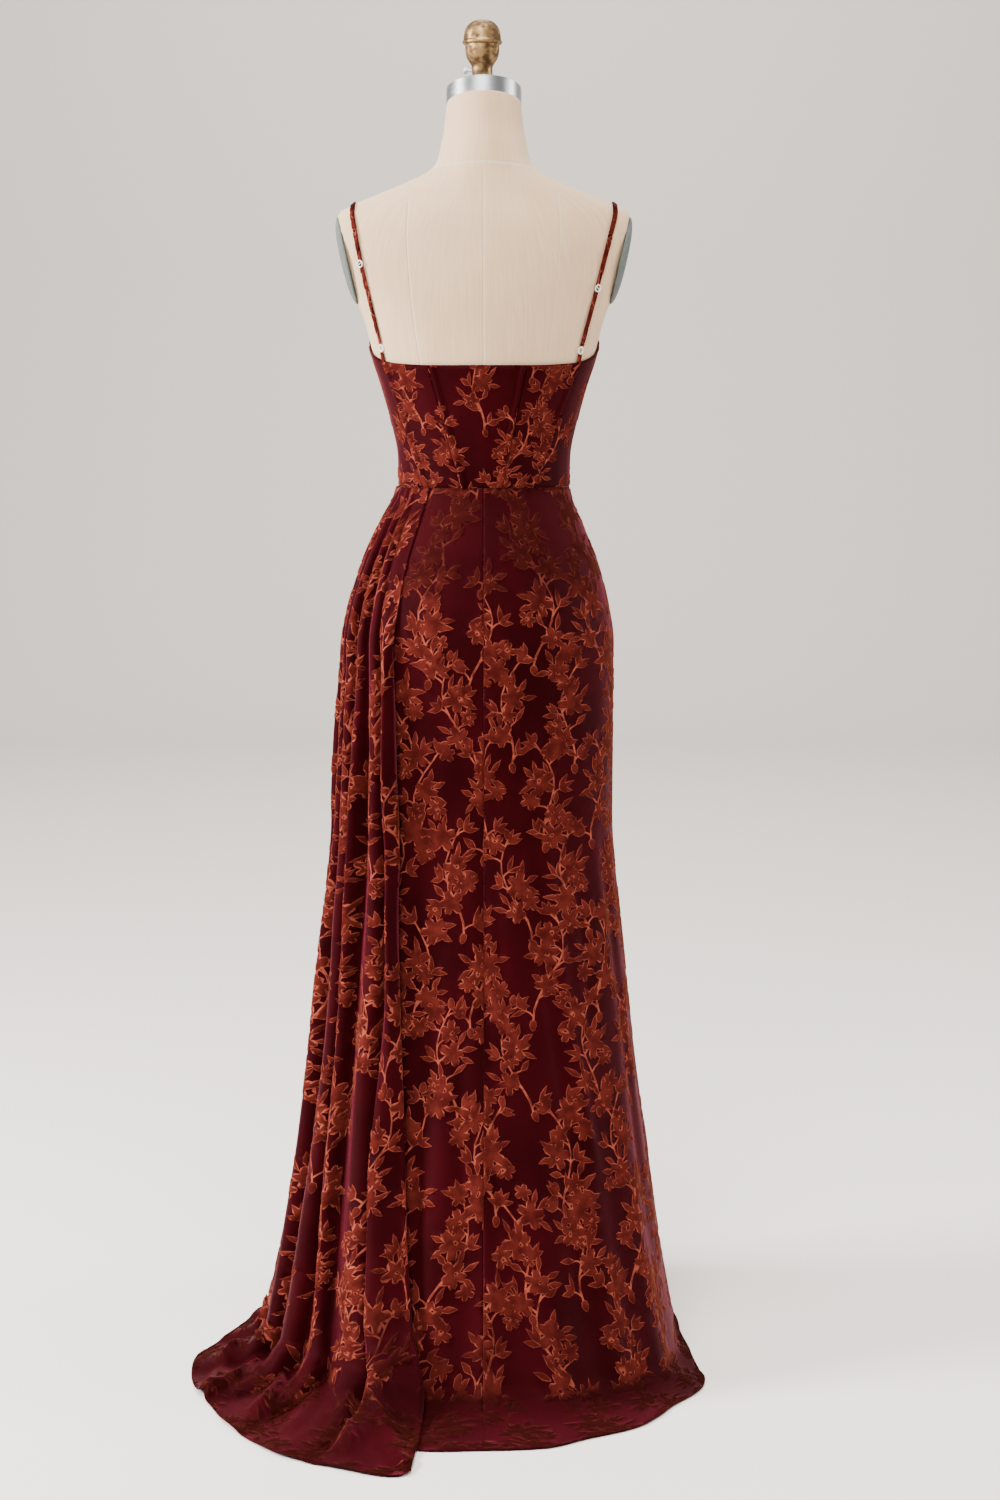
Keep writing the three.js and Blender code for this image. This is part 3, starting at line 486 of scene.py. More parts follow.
@dataclass
class SkirtSurface(ClothSurface):
    """A panel of the skirt between two seams, from the waist to the hem on the floor.

    Attributes:
        start: Angle of the seam on the left seen from outside, in degrees.
        end: Angle of the seam on the right.
        floor_share: Share of the length that lies on the floor.
    """

    start: float
    end: float
    floor_share: float = 0.115

    def point(self, s: Array, t: Array) -> Array:
        """Returns the outer points in millimetres.

        Args:
            s: Shares across.
            t: Shares down.

        Returns:
            Points in millimetres.
        """
        angle = self.start + (self.end - self.start) * s
        hang = 1 - self.floor_share
        z = SKIRT_TOP + (HANG_END - SKIRT_TOP) * np.clip(t / hang, 0, 1)
        out = CLOTH_STAND + flute_rise(angle, z)
        for crease in SKIRT_CREASES:
            out = out + crease.offset(angle, z)
        free = 1 - smooth_step(820, 1000, z)
        out = out + 0.7 * free * ripple(np.radians(angle) * 200, z, 5, 5, 150.0)
        out = out - 1.1 * np.exp(-((SKIRT_TOP - z) / 2.2) ** 2)
        width = np.abs(np.radians(self.end - self.start)) * HALF(z)
        edge = np.minimum(s, 1 - s) * width
        out = out - 0.8 * np.exp(-(edge / 1.1) ** 2)
        pucker = 0.12 * np.sin(z / 7.2 + 1.3 * np.sin(z / 31)) * np.exp(-(edge / 8) ** 2)
        out = np.maximum(out + pucker, 1.6 - smooth_step(860, 780, z) * 8)
        points = figure_point(angle, z, out)
        aside = np.where(s < 0.5, 1, -1) * np.exp(-edge / 0.5) * SEAM_HALF_GAP
        points[..., 0] += aside * np.cos(np.radians(angle))
        points[..., 1] += aside * np.sin(np.radians(angle))
        share = np.clip((t - hang) / self.floor_share, 0, 1)
        if np.any(share > 0):
            hem = hem_point(SKIRT_REACH, turn_between(angle, 0), 1)
            lying = points + (hem - points) * share[..., None]
            open_floor = smooth_step(-16, -6, turn_between(angle, 0))
            waves = 1.2 * open_floor * smooth_step(0.1, 0.35, share) * (1 - 0.75 * share) * (
                1 + ripple(np.radians(angle) * 330, share * 60, 9, 3, 120.0))
            roll = 0.6 * np.exp(-((1 - share) * 140 / 2.2) ** 2)
            lying[..., 2] = FLOOR_HEIGHT(share) + waves * (share < 1) + roll
            points = np.where(share[..., None] > 0, lying, points)
        return points

    def painted_shade(self, points: Array, normal: Array) -> Array:
        """Returns the share of painted shade on the velvet, also where the hips below the waist face upwards."""
        hips = 0.75 * smooth_step(930, 1030, points[:, 2]) * smooth_step(0.05, 0.3, normal[:, 2])
        return np.maximum(super().painted_shade(points, normal), hips)


FOLD_SHAPE = [
    # share across a pleat, place along it, height of the fold
    (0, 0, 0), (0.1, 0.1, 0.04), (0.28, 0.31, 0.32), (0.46, 0.54, 0.72), (0.58, 0.7, 0.95),
    (0.68, 0.84, 1.0), (0.76, 0.95, 0.92), (0.83, 1.02, 0.67), (0.89, 1.03, 0.38), (0.95, 1.01, 0.12),
    (1, 1, 0),
]


@dataclass
class DrapeSurface(ClothSurface):
    """The pleated side drape with its train, between two of its pleats.

    Attributes:
        first: Index of the pleat at its left, counted from the one in front.
        last: Index past the pleat at its right.
        floor_share: Share of the length that lies on the floor.
    """

    first: int
    last: int
    floor_share: float = 0.135

    def point(self, s: Array, t: Array) -> Array:
        """Returns the outer points in millimetres.

        Args:
            s: Shares across.
            t: Shares down.

        Returns:
            Points in millimetres.
        """
        s, t = np.broadcast_arrays(np.asarray(s, float), np.asarray(t, float))
        hang = 1 - self.floor_share
        z = SKIRT_TOP + (HANG_END - SKIRT_TOP) * np.clip(t / hang, 0, 1)
        place = self.first + s * (self.last - self.first)
        index = np.clip(np.floor(place).astype(int), self.first, self.last - 1)
        within = place - index
        sharp = smooth_step(0.0, 0.1, t) * (1 - 0.75 * smooth_step(hang - 0.05, 1, t))
        along = within + (SHAPE_PLACE(within) - within) * sharp
        rise = SHAPE_RISE(within)
        last = (index == len(TROUGHS) - 2).astype(float)
        flat = last * smooth_step(890, 1000, z)
        loose = np.maximum(flat, last * smooth_step(500, 260, z))
        along = along + loose * (1 - (1 - within + (SHAPE_PLACE(1 - within) - 1 + within) * sharp) - along)
        rise = rise + loose * (SHAPE_RISE(1 - within) - rise)
        hang_left, hang_right, hem_left, hem_right = (np.zeros_like(z) for _ in range(4))
        for number in range(self.first, self.last):
            here = index == number
            left, right = TROUGHS[len(TROUGHS) - 1 - number], TROUGHS[len(TROUGHS) - 2 - number]
            hang_left[here], hang_right[here] = left(z[here]), right(z[here])
            hem_left[here], hem_right[here] = left(0.0), right(0.0)
        angle = -(hang_left + (hang_right - hang_left) * along)
        uneven = 1 + 0.16 * np.sin(index * 2.4 + z / 170) + 0.08 * np.sin(index * 5.1 + z / 67)
        depth = PLEAT_DEPTH(z) * uneven
        under = CLOTH_STAND + flute_rise(angle, z)
        near_edge = flat * smooth_step(0.2, 1.0, within)
        stand = STAND_OFF(z) + (2.1 - STAND_OFF(z)) * near_edge * (STAND_OFF(z) > 2.1)
        out = under + stand + rise * depth * (1 - 0.8 * flat + 0.3 * (loose - flat))
        out = out + 0.5 * smooth_step(1110, 960, z) * ripple(np.radians(angle) * 180, z, 21, 4, 90.0)
        points = figure_point(angle, z, out)
        share = np.clip((t - hang) / self.floor_share, 0, 1)
        if np.any(share > 0):
            hem = hem_point(DRAPE_REACH, hem_left + (hem_right - hem_left) * along, -1)
            foot = figure_point(angle, HANG_END, out)
            lying = foot + (hem - foot) * share[..., None]
            bearing = np.degrees(np.arctan2(lying[..., 0], -lying[..., 1]))
            beyond = np.hypot(lying[..., 0], lying[..., 1]) - SKIRT_REACH(bearing)
            over = (LIFT_OVER_HEM - 2) * (1 - smooth_step(HEM_MARGIN * 0.4, HEM_MARGIN * 2, beyond))
            low = np.maximum(FLOOR_HEIGHT(share), 2 + over)
            roll = 0.8 * np.exp(-((1 - share) * 170 / 2.4) ** 2)
            folds = sum(fold.rise(lying[..., 0], lying[..., 1]) for fold in TRAIN_FOLDS)
            lying[..., 2] = low + rise * 20 * FLOOR_FOLD(share) + folds * smooth_step(0, 0.2, share) + roll
            points = np.where(share[..., None] > 0, lying, points)
        return points


SHAPE_PLACE = curve_of(FOLD_SHAPE, 1)
SHAPE_RISE = curve_of(FOLD_SHAPE, 2)


def back_seam(name: str) -> SmoothCurve:
    """Returns the signed angle of a back seam of the bodice by height.

    Args:
        name: Name of the seam.

    Returns:
        The angle, by height.
    """
    top, waist = BACK_SEAMS[name]
    heights = np.linspace(WAIST - 5, 1360, 40)
    x = waist + (top - waist) * (heights - WAIST) / (NECKLINE[0][1] - WAIST)
    return SmoothCurve(heights, angle_at_x(x, heights, CLOTH_STAND))


def front_seam(name: str, turn: float = 0.0) -> Callable[[Array], Array]:
    """Returns the angle of a front or side seam by height, less a turn of the circle.

    Args:
        name: Name of the seam.
        turn: Angle taken off.

    Returns:
        The angle, by height.
    """
    top, waist = FRONT_SEAMS[name]

    def angle(z: Array) -> Array:
        """Returns the seam's angle in degrees."""
        return waist + (top - waist) * (z - WAIST) / (NECKLINE[-1][1] - WAIST) - turn
    return angle


@dataclass
class BodiceSurface(ClothSurface):
    """A boned panel of the bodice between two seams.

    Attributes:
        left: Angle of its left seam by height, seen from outside.
        right: Angle of its right seam by height.
        bone_left: Whether a bone channel lies along the left seam.
        bone_right: Whether one lies along the right seam.
    """

    left: Callable[[Array], Array]
    right: Callable[[Array], Array]
    bone_left: bool = False
    bone_right: bool = False

    def point(self, s: Array, t: Array) -> Array:
        """Returns the outer points in millimetres.

        Args:
            s: Shares across.
            t: Shares down.

        Returns:
            Points in millimetres.
        """
        s, t = np.broadcast_arrays(np.asarray(s, float), np.asarray(t, float))
        level = np.full_like(s, float(NECKLINE[0][1]))
        near = self.left(level) + (self.right(level) - self.left(level)) * s
        top = NECK_EDGE(np.abs(turn_between(near, 0)))
        z = top + (BODICE_BOTTOM - top) * t
        left, right = self.left(z), self.right(z)
        width = np.radians(right - left) * HALF(z)
        inset = np.degrees(0.2 / HALF(z))
        angle = left + inset + (right - left - 2 * inset) * s
        from_left, from_right = s * width, (1 - s) * width
        out = np.full_like(s, CLOTH_STAND)
        for shown, distance in ((self.bone_left, from_left), (self.bone_right, from_right)):
            if shown:
                crown = smooth_step(-0.3, 1.5, distance)
                crown *= 1 - smooth_step(BONE_WIDTH - BONE_SLOPE, BONE_WIDTH + BONE_SLOPE, distance)
                out = out + BONE_RISE * crown
                out = out - 0.8 * np.exp(-((distance - BONE_WIDTH - 1.4) / 1.0) ** 2)
        edge = np.minimum(from_left, from_right)
        out = out - 1.2 * np.exp(-(edge / 1.1) ** 2)
        from_top, from_waist = top - z, z - BODICE_BOTTOM
        out = out - 1.1 * np.exp(-(from_waist / 2.0) ** 2)
        out = out + 0.5 * np.exp(-((from_top - 2.5) / 2.4) ** 2) - 0.9 * np.exp(-(from_top / 0.9) ** 2)
        out = out - 0.35 * np.exp(-((from_top - 7.5) / 1.0) ** 2)
        out = out + 0.28 * ripple(np.radians(angle) * 120, z, 33, 4, 70.0) * smooth_step(2, 14, edge)
        return figure_point(angle, z, np.maximum(out, 1.7))


class Outline(Enum):
    """What the inside of a closed line on the cloth is."""

    VELVET = "velvet"
    RAISED = "raised"
    EYE = "eye"


@dataclass
class Motifs:
    """Loops and lines of velvet that are laid on a flat piece of cloth.

    Attributes:
        points: Places on the cloth, in millimetres.
        raised: Whether each point stands at the height of the pile.
        lines: Pairs of points that are kept as edges.
        loops: Loops of points, each with what its inside is.
    """

    points: list[Pair] = field(default_factory=list)
    raised: list[bool] = field(default_factory=list)
    lines: list[tuple[int, int]] = field(default_factory=list)
    loops: list[tuple[list[int], Outline]] = field(default_factory=list)

    def add_points(self, places: Sequence[Pair], raised: bool) -> list[int]:
        """Adds points and returns their indexes.

        Args:
            places: Places on the flat cloth.
            raised: Whether they are on the pile.

        Returns:
            The number of each point.
        """
        start = len(self.points)
        self.points.extend(places)
        self.raised.extend([raised] * len(places))
        return list(range(start, len(self.points)))

    def add_patch(self, outline: Sequence[Pair], inner: Sequence[Pair]) -> None:
        """Adds a velvet shape with its sloping edge."""
        self.loops.append((self.add_points(outline, False), Outline.VELVET))
        self.loops.append((self.add_points(inner, True), Outline.RAISED))

    def add_eye(self, outline: Sequence[Pair]) -> None:
        """Adds a spot where the pile is cut away."""
        self.loops.append((self.add_points(outline, False), Outline.EYE))


@dataclass(frozen=True)
class Sprayer:
    """Draws sprays of flowers, buds and leaves on thin forked stems.

    Attributes:
        petals: Petals of a flower.
        flower: Radius of a flower.
        leaf: Length of a leaf.
        leaf_width: Width of a leaf.
        stem: Width of a stem.
        slope: Width of the sloping edge of the pile.
        fine: Whether petals and leaves have their full number of points.
    """

    petals: int = 5
    flower: float = 19.5
    leaf: float = 22.0
    leaf_width: float = 8.6
    stem: float = 2.8
    slope: float = 1.1
    fine: bool = True

    def flower_shape(self, motifs: Motifs, rng: random.Random, x: float, y: float, size: float) -> None:
        """Adds one flower with notched petals and a small eye.

        Args:
            motifs: What it is added to.
            rng: Random draws.
            x, y: Its middle.
            size: Its size beside a usual one.
        """
        turn = rng.uniform(0, 2 * math.pi)
        scales = [rng.uniform(0.84, 1.1) for _ in range(self.petals)]
        squash = rng.uniform(0.82, 1.0)
        outline, inner = [], []
        shape = ((0.0, 0.5), (0.17, 0.82), (0.37, 1.0), (0.52, 0.9), (0.66, 1.0), (0.85, 0.8))
        crests = (0.0, 0.37, 0.66)
        if not self.fine:
            shape, crests = ((0.0, 0.5), (0.22, 0.88), (0.45, 1.0), (0.63, 0.95), (0.84, 0.78)), (0.0, 0.45)
        for petal in range(self.petals):
            for place, reach in shape:
                blend = scales[petal] if place > 0 else (scales[petal] + scales[petal - 1]) / 2
                radius = self.flower * size * reach * blend
                angle = turn + 2 * math.pi * (petal + place) / self.petals
                small = max(radius - self.slope, radius * 0.72)
                outline.append((x + radius * math.cos(angle), y + squash * radius * math.sin(angle)))
                if place in crests:
                    inner.append((x + small * math.cos(angle), y + squash * small * math.sin(angle)))
        motifs.add_patch(outline, inner)
        if rng.random() < 0.5:
            ex, ey = x + 3.4 * size * math.cos(turn), y + 3.4 * size * math.sin(turn)
            motifs.add_eye([(ex + 1.9 * math.cos(a), ey + 1.4 * math.sin(a)) for a in (0, 1.6, 3.1, 4.7)])

    def leaf_shape(self, motifs: Motifs, x: float, y: float, heading: float, length: float, width: float,
                   bend: float) -> None:
        """Adds one pointed leaf that starts at a place and grows along a heading.

        Args:
            motifs: What it is added to.
            x, y: Where it starts.
            heading: Where it points.
            length, width: Its sizes.
            bend: How far it curves to one side.
        """
        shape = ((0.0, 0.16), (0.2, 0.62), (0.44, 1.0), (0.74, 0.6), (1.0, 0.0))
        if not self.fine:
            shape = ((0.0, 0.16), (0.3, 0.88), (0.66, 0.75), (1.0, 0.0))
        ahead = (math.cos(heading), math.sin(heading))
        aside = (-ahead[1], ahead[0])

        def place(along: float, across: float) -> Pair:
            """Returns a point of the leaf."""
            curve = bend * length * along * along
            return (x + ahead[0] * along * length + aside[0] * (across + curve),
                    y + ahead[1] * along * length + aside[1] * (across + curve))
        right = [place(a, -0.5 * width * w) for a, w in shape]
        left = [place(a, 0.5 * width * w) for a, w in reversed(shape[:-1])]
        belly = 0.5 * width - self.slope
        inner = [place(0.1, 0), place(0.42, -belly), place(0.92, 0), place(0.42, belly)]
        if self.fine:
            taper = 0.3 * width - self.slope * 0.8
            inner[2:3] = [place(0.7, -taper), place(0.92, 0), place(0.7, taper)]
        motifs.add_patch(right + left, inner)

    def bud_shape(self, motifs: Motifs, x: float, y: float, heading: float, size: float) -> None:
        """Adds a closed bud at the end of a stem.

        Args:
            motifs: What it is added to.
            x, y: The stem's end.
            heading: Where it points.
            size: Its size beside a usual one.
        """
        def oval(long: float, wide: float) -> list[Pair]:
            """Returns an oval that is pointed at its tip."""
            points = []
            for index in range(8):
                angle = 2 * math.pi * index / 8
                along, across = long * math.cos(angle), wide * math.sin(angle) * (1 - 0.25 * math.cos(angle))
                points.append((x + math.cos(heading) * along - math.sin(heading) * across,
                               y + math.sin(heading) * along + math.cos(heading) * across))
            return points
        motifs.add_patch(oval(7.0 * size, 5.0 * size), oval(7.0 * size - self.slope, 5.0 * size - self.slope))

    def stem_shape(self, motifs: Motifs, line: Sequence[Pair], width: float) -> None:
        """Adds a thin stem along a line, with its crest down the middle.

        Args:
            motifs: What it is added to.
            line: Its middle line.
            width: Its width.
        """
        left, right, middle = [], [], []
        for index, (x, y) in enumerate(line):
            before, after = line[max(index - 1, 0)], line[min(index + 1, len(line) - 1)]
            dx, dy = after[0] - before[0], after[1] - before[1]
            length = math.hypot(dx, dy) or 1.0
            half = 0.5 * width * (1 - 0.35 * index / max(len(line) - 1, 1))
            left.append((x - dy / length * half, y + dx / length * half))
            right.append((x + dy / length * half, y - dx / length * half))
            middle.append((x, y))
        motifs.loops.append((motifs.add_points(right + left[::-1], False), Outline.VELVET))
        crest = motifs.add_points(middle[1:-1], True)
        motifs.lines.extend(zip(crest, crest[1:]))

    def spray(self, rng: random.Random, x: float, y: float, size: float = 1.0) -> Motifs:
        """Draws one spray.

        Args:
            rng: Source of its small differences.
            x: Place of its middle across the cloth.
            y: Place of its middle up the cloth.
            size: Scale of the whole spray.

        Returns:
            The motifs of the spray, in millimetres.
        """
        motifs = Motifs()
        side = rng.choice((-1, 1))
        lean = rng.uniform(-0.25, 0.25)
        half = 66 * size
        phase = rng.uniform(0.5, 1.2)

        def on_stem(v: float) -> Pair:
            """Returns a point of the main stem."""
            sway = side * 15 * size * math.sin(phase + v / (25 * size)) + lean * v
            return x + sway, y + v
        places = [on_stem(-half + 2 * half * i / 9) for i in range(10)]
        self.stem_shape(motifs, places, self.stem)
        heads = ((0.46, 1, 0.98), (0.04, -1, 1.02), (-0.38, 1, 0.86))
        for height, way, scale in heads:
            v = height * half * 1.5 + rng.uniform(-5, 5)
            sx, sy = on_stem(v)
            reach = rng.uniform(15, 22) * size
            heading = math.pi / 2 - side * way * rng.uniform(0.8, 1.3)
            fx, fy = sx + reach * math.cos(heading), sy + reach * math.sin(heading)
            self.stem_shape(motifs, [(sx, sy), ((sx + fx) / 2, (sy + fy) / 2 + 2), (fx, fy)], self.stem)
            self.flower_shape(motifs, rng, fx, fy, scale * size * rng.uniform(0.9, 1.08))
            beside = heading + rng.choice((-1.4, 1.3))
            gap = self.flower * size * 1.35
            self.flower_shape(motifs, rng, fx + gap * math.cos(beside), fy + gap * math.sin(beside),
                              scale * size * rng.uniform(0.62, 0.82))
            for turn in (-0.9, -0.1, 0.75):
                out = heading + turn + rng.uniform(-0.2, 0.2)
                start = self.flower * size * 0.62
                self.leaf_shape(motifs, fx + start * math.cos(out), fy + start * math.sin(out), out,
                                self.leaf * size * rng.uniform(0.8, 1.05),
                                self.leaf_width * size * rng.uniform(0.8, 1.0), rng.uniform(-0.2, 0.2))
        for index in range(7):
            v = -half + (index + 0.4) * 2 * half / 7
            sx, sy = on_stem(v)
            way = side if index % 2 else -side
            heading = math.pi / 2 - way * rng.uniform(0.65, 1.25)
            twig = rng.uniform(5, 14) * size
            tx, ty = sx + twig * math.cos(heading), sy + twig * math.sin(heading)
            self.stem_shape(motifs, [(sx, sy), ((sx + tx) / 2, (sy + ty) / 2 + 1), (tx, ty)], self.stem * 0.9)
            fan = (-0.55, 0.0, 0.6) if index % 3 == 0 else ((-0.35, 0.45) if index % 3 == 1 else (0.1,))
            for turn in fan:
                self.leaf_shape(motifs, tx, ty, heading + turn + rng.uniform(-0.15, 0.15),
                                self.leaf * size * rng.uniform(0.78, 1.1),
                                self.leaf_width * size * rng.uniform(0.75, 1.05), rng.uniform(-0.25, 0.25))
        for end in (-1, 1):
            ex, ey = on_stem(end * half)
            heading = end * math.pi / 2 + rng.uniform(-0.4, 0.4)
            self.bud_shape(motifs, ex + 4 * math.cos(heading), ey + 4 * math.sin(heading), heading, size)
        return motifs


def mesh_piece(name: str, points: Array, faces: list[list[int]]) -> Piece:
    """Makes a smooth-shaded piece.

    Args:
        name: Name of the piece and its mesh.
        points: Its points, in metres.
        faces: The numbers of each face's points.

    Returns:
        The piece, in the scene.
    """
    mesh = bpy.data.meshes.new(name)
    mesh.from_pydata(points.tolist(), [], faces)
    mesh.polygons.foreach_set("use_smooth", np.ones(len(faces), bool))
    piece = bpy.data.objects.new(name, mesh)
    bpy.context.scene.collection.objects.link(piece)
    return piece


def add_values(mesh: bpy.types.Mesh, name: str, values: Array) -> None:
    """Adds a number for each point of a mesh as a named attribute."""
    mesh.attributes.new(name, "FLOAT", "POINT").data.foreach_set("value", values.astype(np.float32).ravel())


def add_cloth_map(mesh: bpy.types.Mesh, flat: Array) -> None:
    """Adds a UV map that lies flat along the cloth.

    Args:
        mesh: Mesh that it is added to.
        flat: Place of each point on the flat cloth, in metres.
    """
    corners = np.zeros(len(mesh.loops), np.int32)
    mesh.loops.foreach_get("vertex_index", corners)
    mesh.uv_layers.new(name="cloth").data.foreach_set("uv", flat[corners].astype(np.float32).ravel())


@dataclass
class ClothPiece:
    """A thin shell of cut velvet on a surface, with raised sprays of pile.

    Attributes:
        name: Name of the finished piece.
        surface: Where the cloth lies.
        seed: Picks this piece's arrangement of sprays.
        grid: Distance between the plain points of the shell, across and down, in millimetres.
        columns: Shares across at which the shell has columns of points, where the cloth folds.
        pitch: Distance between sprays across and down the cloth.
        size: Scale of the sprays.
        thickness: Thickness of the cloth.
        lean: How far the reverse is set aside, so that the seams between pieces aren't seen through.
        fine: Whether its petals and leaves have their full number of points.
    """

    name: str
    surface: ClothSurface
    seed: int
    grid: Pair = (9.0, 11.0)
    columns: Sequence[float] | None = None
    pitch: Pair = (92.0, 112.0)
    size: float = 1.0
    thickness: float = CLOTH_THICKNESS
    lean: float = 0.0
    fine: bool = True
    length: float = 0.0
    widths: SmoothCurve | None = None

    def measure(self) -> None:
        """Measures the piece's length, and its width at each level."""
        shares = np.linspace(0, 1, 200)
        levels = np.linspace(0, 1, 31)
        widths = []
        for level in levels:
            row = self.surface.point(shares, np.full_like(shares, level))
            widths.append(np.linalg.norm(np.diff(row, axis=0), axis=1).sum())
        lengths = []
        for share in np.linspace(0.02, 0.98, 15):
            column = self.surface.point(np.full_like(shares, share), shares)
            lengths.append(np.linalg.norm(np.diff(column, axis=0), axis=1).sum())
        self.length = float(np.mean(lengths))
        self.widths = SmoothCurve(levels, widths)
        LOG.info("%s is %.0f mm long, %.0f mm wide above and %.0f mm below", self.name, max(lengths), widths[0],
                 widths[-1])

    def motifs(self) -> Motifs:
        """Lays sprays in rows over the whole piece, set off by half a step in every other row.

        Returns:
            Motifs whose points are shares across and down, scaled by the mean width and length.
        """
        rng = random.Random(self.seed)
        sprayer = Sprayer(fine=self.fine)
        mean_width = float(np.mean(self.widths.values))
        laid = Motifs()
        across, down = self.pitch
        rows = max(1, round(self.length / down))
        for row in range(-1, rows + 1):
            v = (row + 0.5 + rng.uniform(-0.06, 0.06)) * self.length / rows
            level = min(max(v / self.length, 0), 1)
            width = float(self.widths(level))
            count = max(1, round(width / across))
            shift = 0.5 if row % 2 else 0.0
            narrow = width < 0.4 * across
            for index in range(-1, count + 1):
                u = (index + 0.5 + shift + rng.uniform(-0.09, 0.09)) * width / count
                if narrow:
                    u = rng.uniform(-0.3, 0.3) * across
                if u < -SPRAY_REACH or u > width + SPRAY_REACH or (narrow and index):
                    continue
                spray = sprayer.spray(rng, u - width / 2, -v + rng.uniform(-8, 8), self.size)
                self.lay(spray, laid, mean_width)
        return laid

    def lay(self, spray: Motifs, laid: Motifs, mean_width: float) -> None:
        """Lays one spray on the flat piece and leaves out what falls outside it.

        Args:
            spray: The spray, about the middle of the piece.
            laid: What is laid so far, which the spray is added to.
            mean_width: Width of the flat shape.
        """
        places = np.array(spray.points)
        down = -places[:, 1] / self.length
        share = 0.5 + places[:, 0] / self.widths(np.clip(down, 0, 1))
        inside = (share > 0) & (share < 1) & (down > 0) & (down < 1)
        flat = np.stack([np.clip(share, 0, 1) * mean_width, -np.clip(down, 0, 1) * self.length], axis=1)
        numbers: dict[int, int] = {}

        def number(index: int) -> int:
            """Returns the number under which a point of the spray is laid."""
            if index not in numbers:
                numbers[index] = len(laid.points)
                laid.points.append((float(flat[index, 0]), float(flat[index, 1])))
                laid.raised.append(spray.raised[index])
            return numbers[index]
        for loop, kind in spray.loops:
            if inside[loop].any():
                laid.loops.append(([number(i) for i in loop], kind))
        for a, b in spray.lines:
            if inside[a] and inside[b]:
                laid.lines.append((number(a), number(b)))

    def plain_points(self, grid: Pair, mean_width: float) -> list[Pair]:
        """Returns the points of the plain grid inside the piece, on its flat shape.

        Args:
            grid: Distance between points.
            mean_width: Mean width of the piece.

        Returns:
            The points.
        """
        columns = self.columns
        if columns is None:
            count = max(2, round(float(np.max(self.widths.values)) / grid[0]))
            beside = np.array([1.3, 3.2]) / mean_width
            columns = np.concatenate([np.linspace(0, 1, count + 1), beside, 1 - beside]) if count > 8 else (
                np.linspace(0, 1, count + 1))
        rows = np.linspace(0, 1, max(2, round(self.length / grid[1])) + 1)
        return [(float(s) * mean_width, -float(t) * self.length) for t in rows for s in columns]

    def triangulate(self, points: list[Pair], motifs: Motifs, mean_width: float) -> tuple:
        """Cuts the flat piece into triangles along the edges of its motifs.

        Args:
            points: Plain points of the piece.
            motifs: Motifs laid on it.
            mean_width: Width of its flat shape.

        Returns:
            Flat points, triangles, which of them are velvet, and which points are raised.
        """
        corners = [(0, 0), (0, -self.length), (mean_width, -self.length), (mean_width, 0)]
        places = corners + motifs.points + points
        edges = [(a + 4, b + 4) for a, b in motifs.lines]
        for loop, _ in motifs.loops:
            edges.extend((a + 4, b + 4) for a, b in zip(loop, loop[1:] + loop[:1]))
        out, _, triangles, from_points, _, _ = delaunay_2d_cdt(
            [Vector(place) for place in places], edges, [[0, 1, 2, 3]], 1, 1e-5, True)
        flat, corners_of = np.array([tuple(p) for p in out]), np.array(triangles)
        tall = {i + 4 for i, is_raised in enumerate(motifs.raised) if is_raised}
        raised = np.array([any(source in tall for source in sources) for sources in from_points])
        held = self.inside_loops(flat[corners_of].mean(axis=1), motifs)
        raised[corners_of[held[Outline.RAISED]].ravel()] = True
        raised[corners_of[held[Outline.EYE]].ravel()] = False
        return flat, corners_of, held[Outline.VELVET] & ~held[Outline.EYE], raised

    def inside_loops(self, middles: Array, motifs: Motifs) -> dict[Outline, Array]:
        """Finds which triangles lie inside the loops of each kind.

        Args:
            middles: Middles of the triangles.
            motifs: Motifs with their loops.

        Returns:
            For each kind of loop, whether each triangle lies inside one.
        """
        held = {kind: np.zeros(len(middles), bool) for kind in Outline}
        order = np.argsort(middles[:, 1])
        x, y = middles[order, 0], middles[order, 1]
        all_points = np.array(motifs.points)
        for loop, kind in motifs.loops:
            shape = all_points[loop]
            low, high = shape.min(axis=0), shape.max(axis=0)
            start, end = np.searchsorted(y, (low[1], high[1]))
            near = start + np.nonzero((x[start:end] > low[0]) & (x[start:end] < high[0]))[0]
            if not len(near):
                continue
            px, py = x[near][:, None], y[near][:, None]
            ax, ay = shape[:, 0][None], shape[:, 1][None]
            bx, by = np.roll(ax, -1, axis=1), np.roll(ay, -1, axis=1)
            rise = np.where(by == ay, 1.0, by - ay)
            crosses = ((ay > py) != (by > py)) & (px < (bx - ax) * (py - ay) / rise + ax)
            held[kind][order[near[crosses.sum(axis=1) % 2 == 1]]] = True
        return held

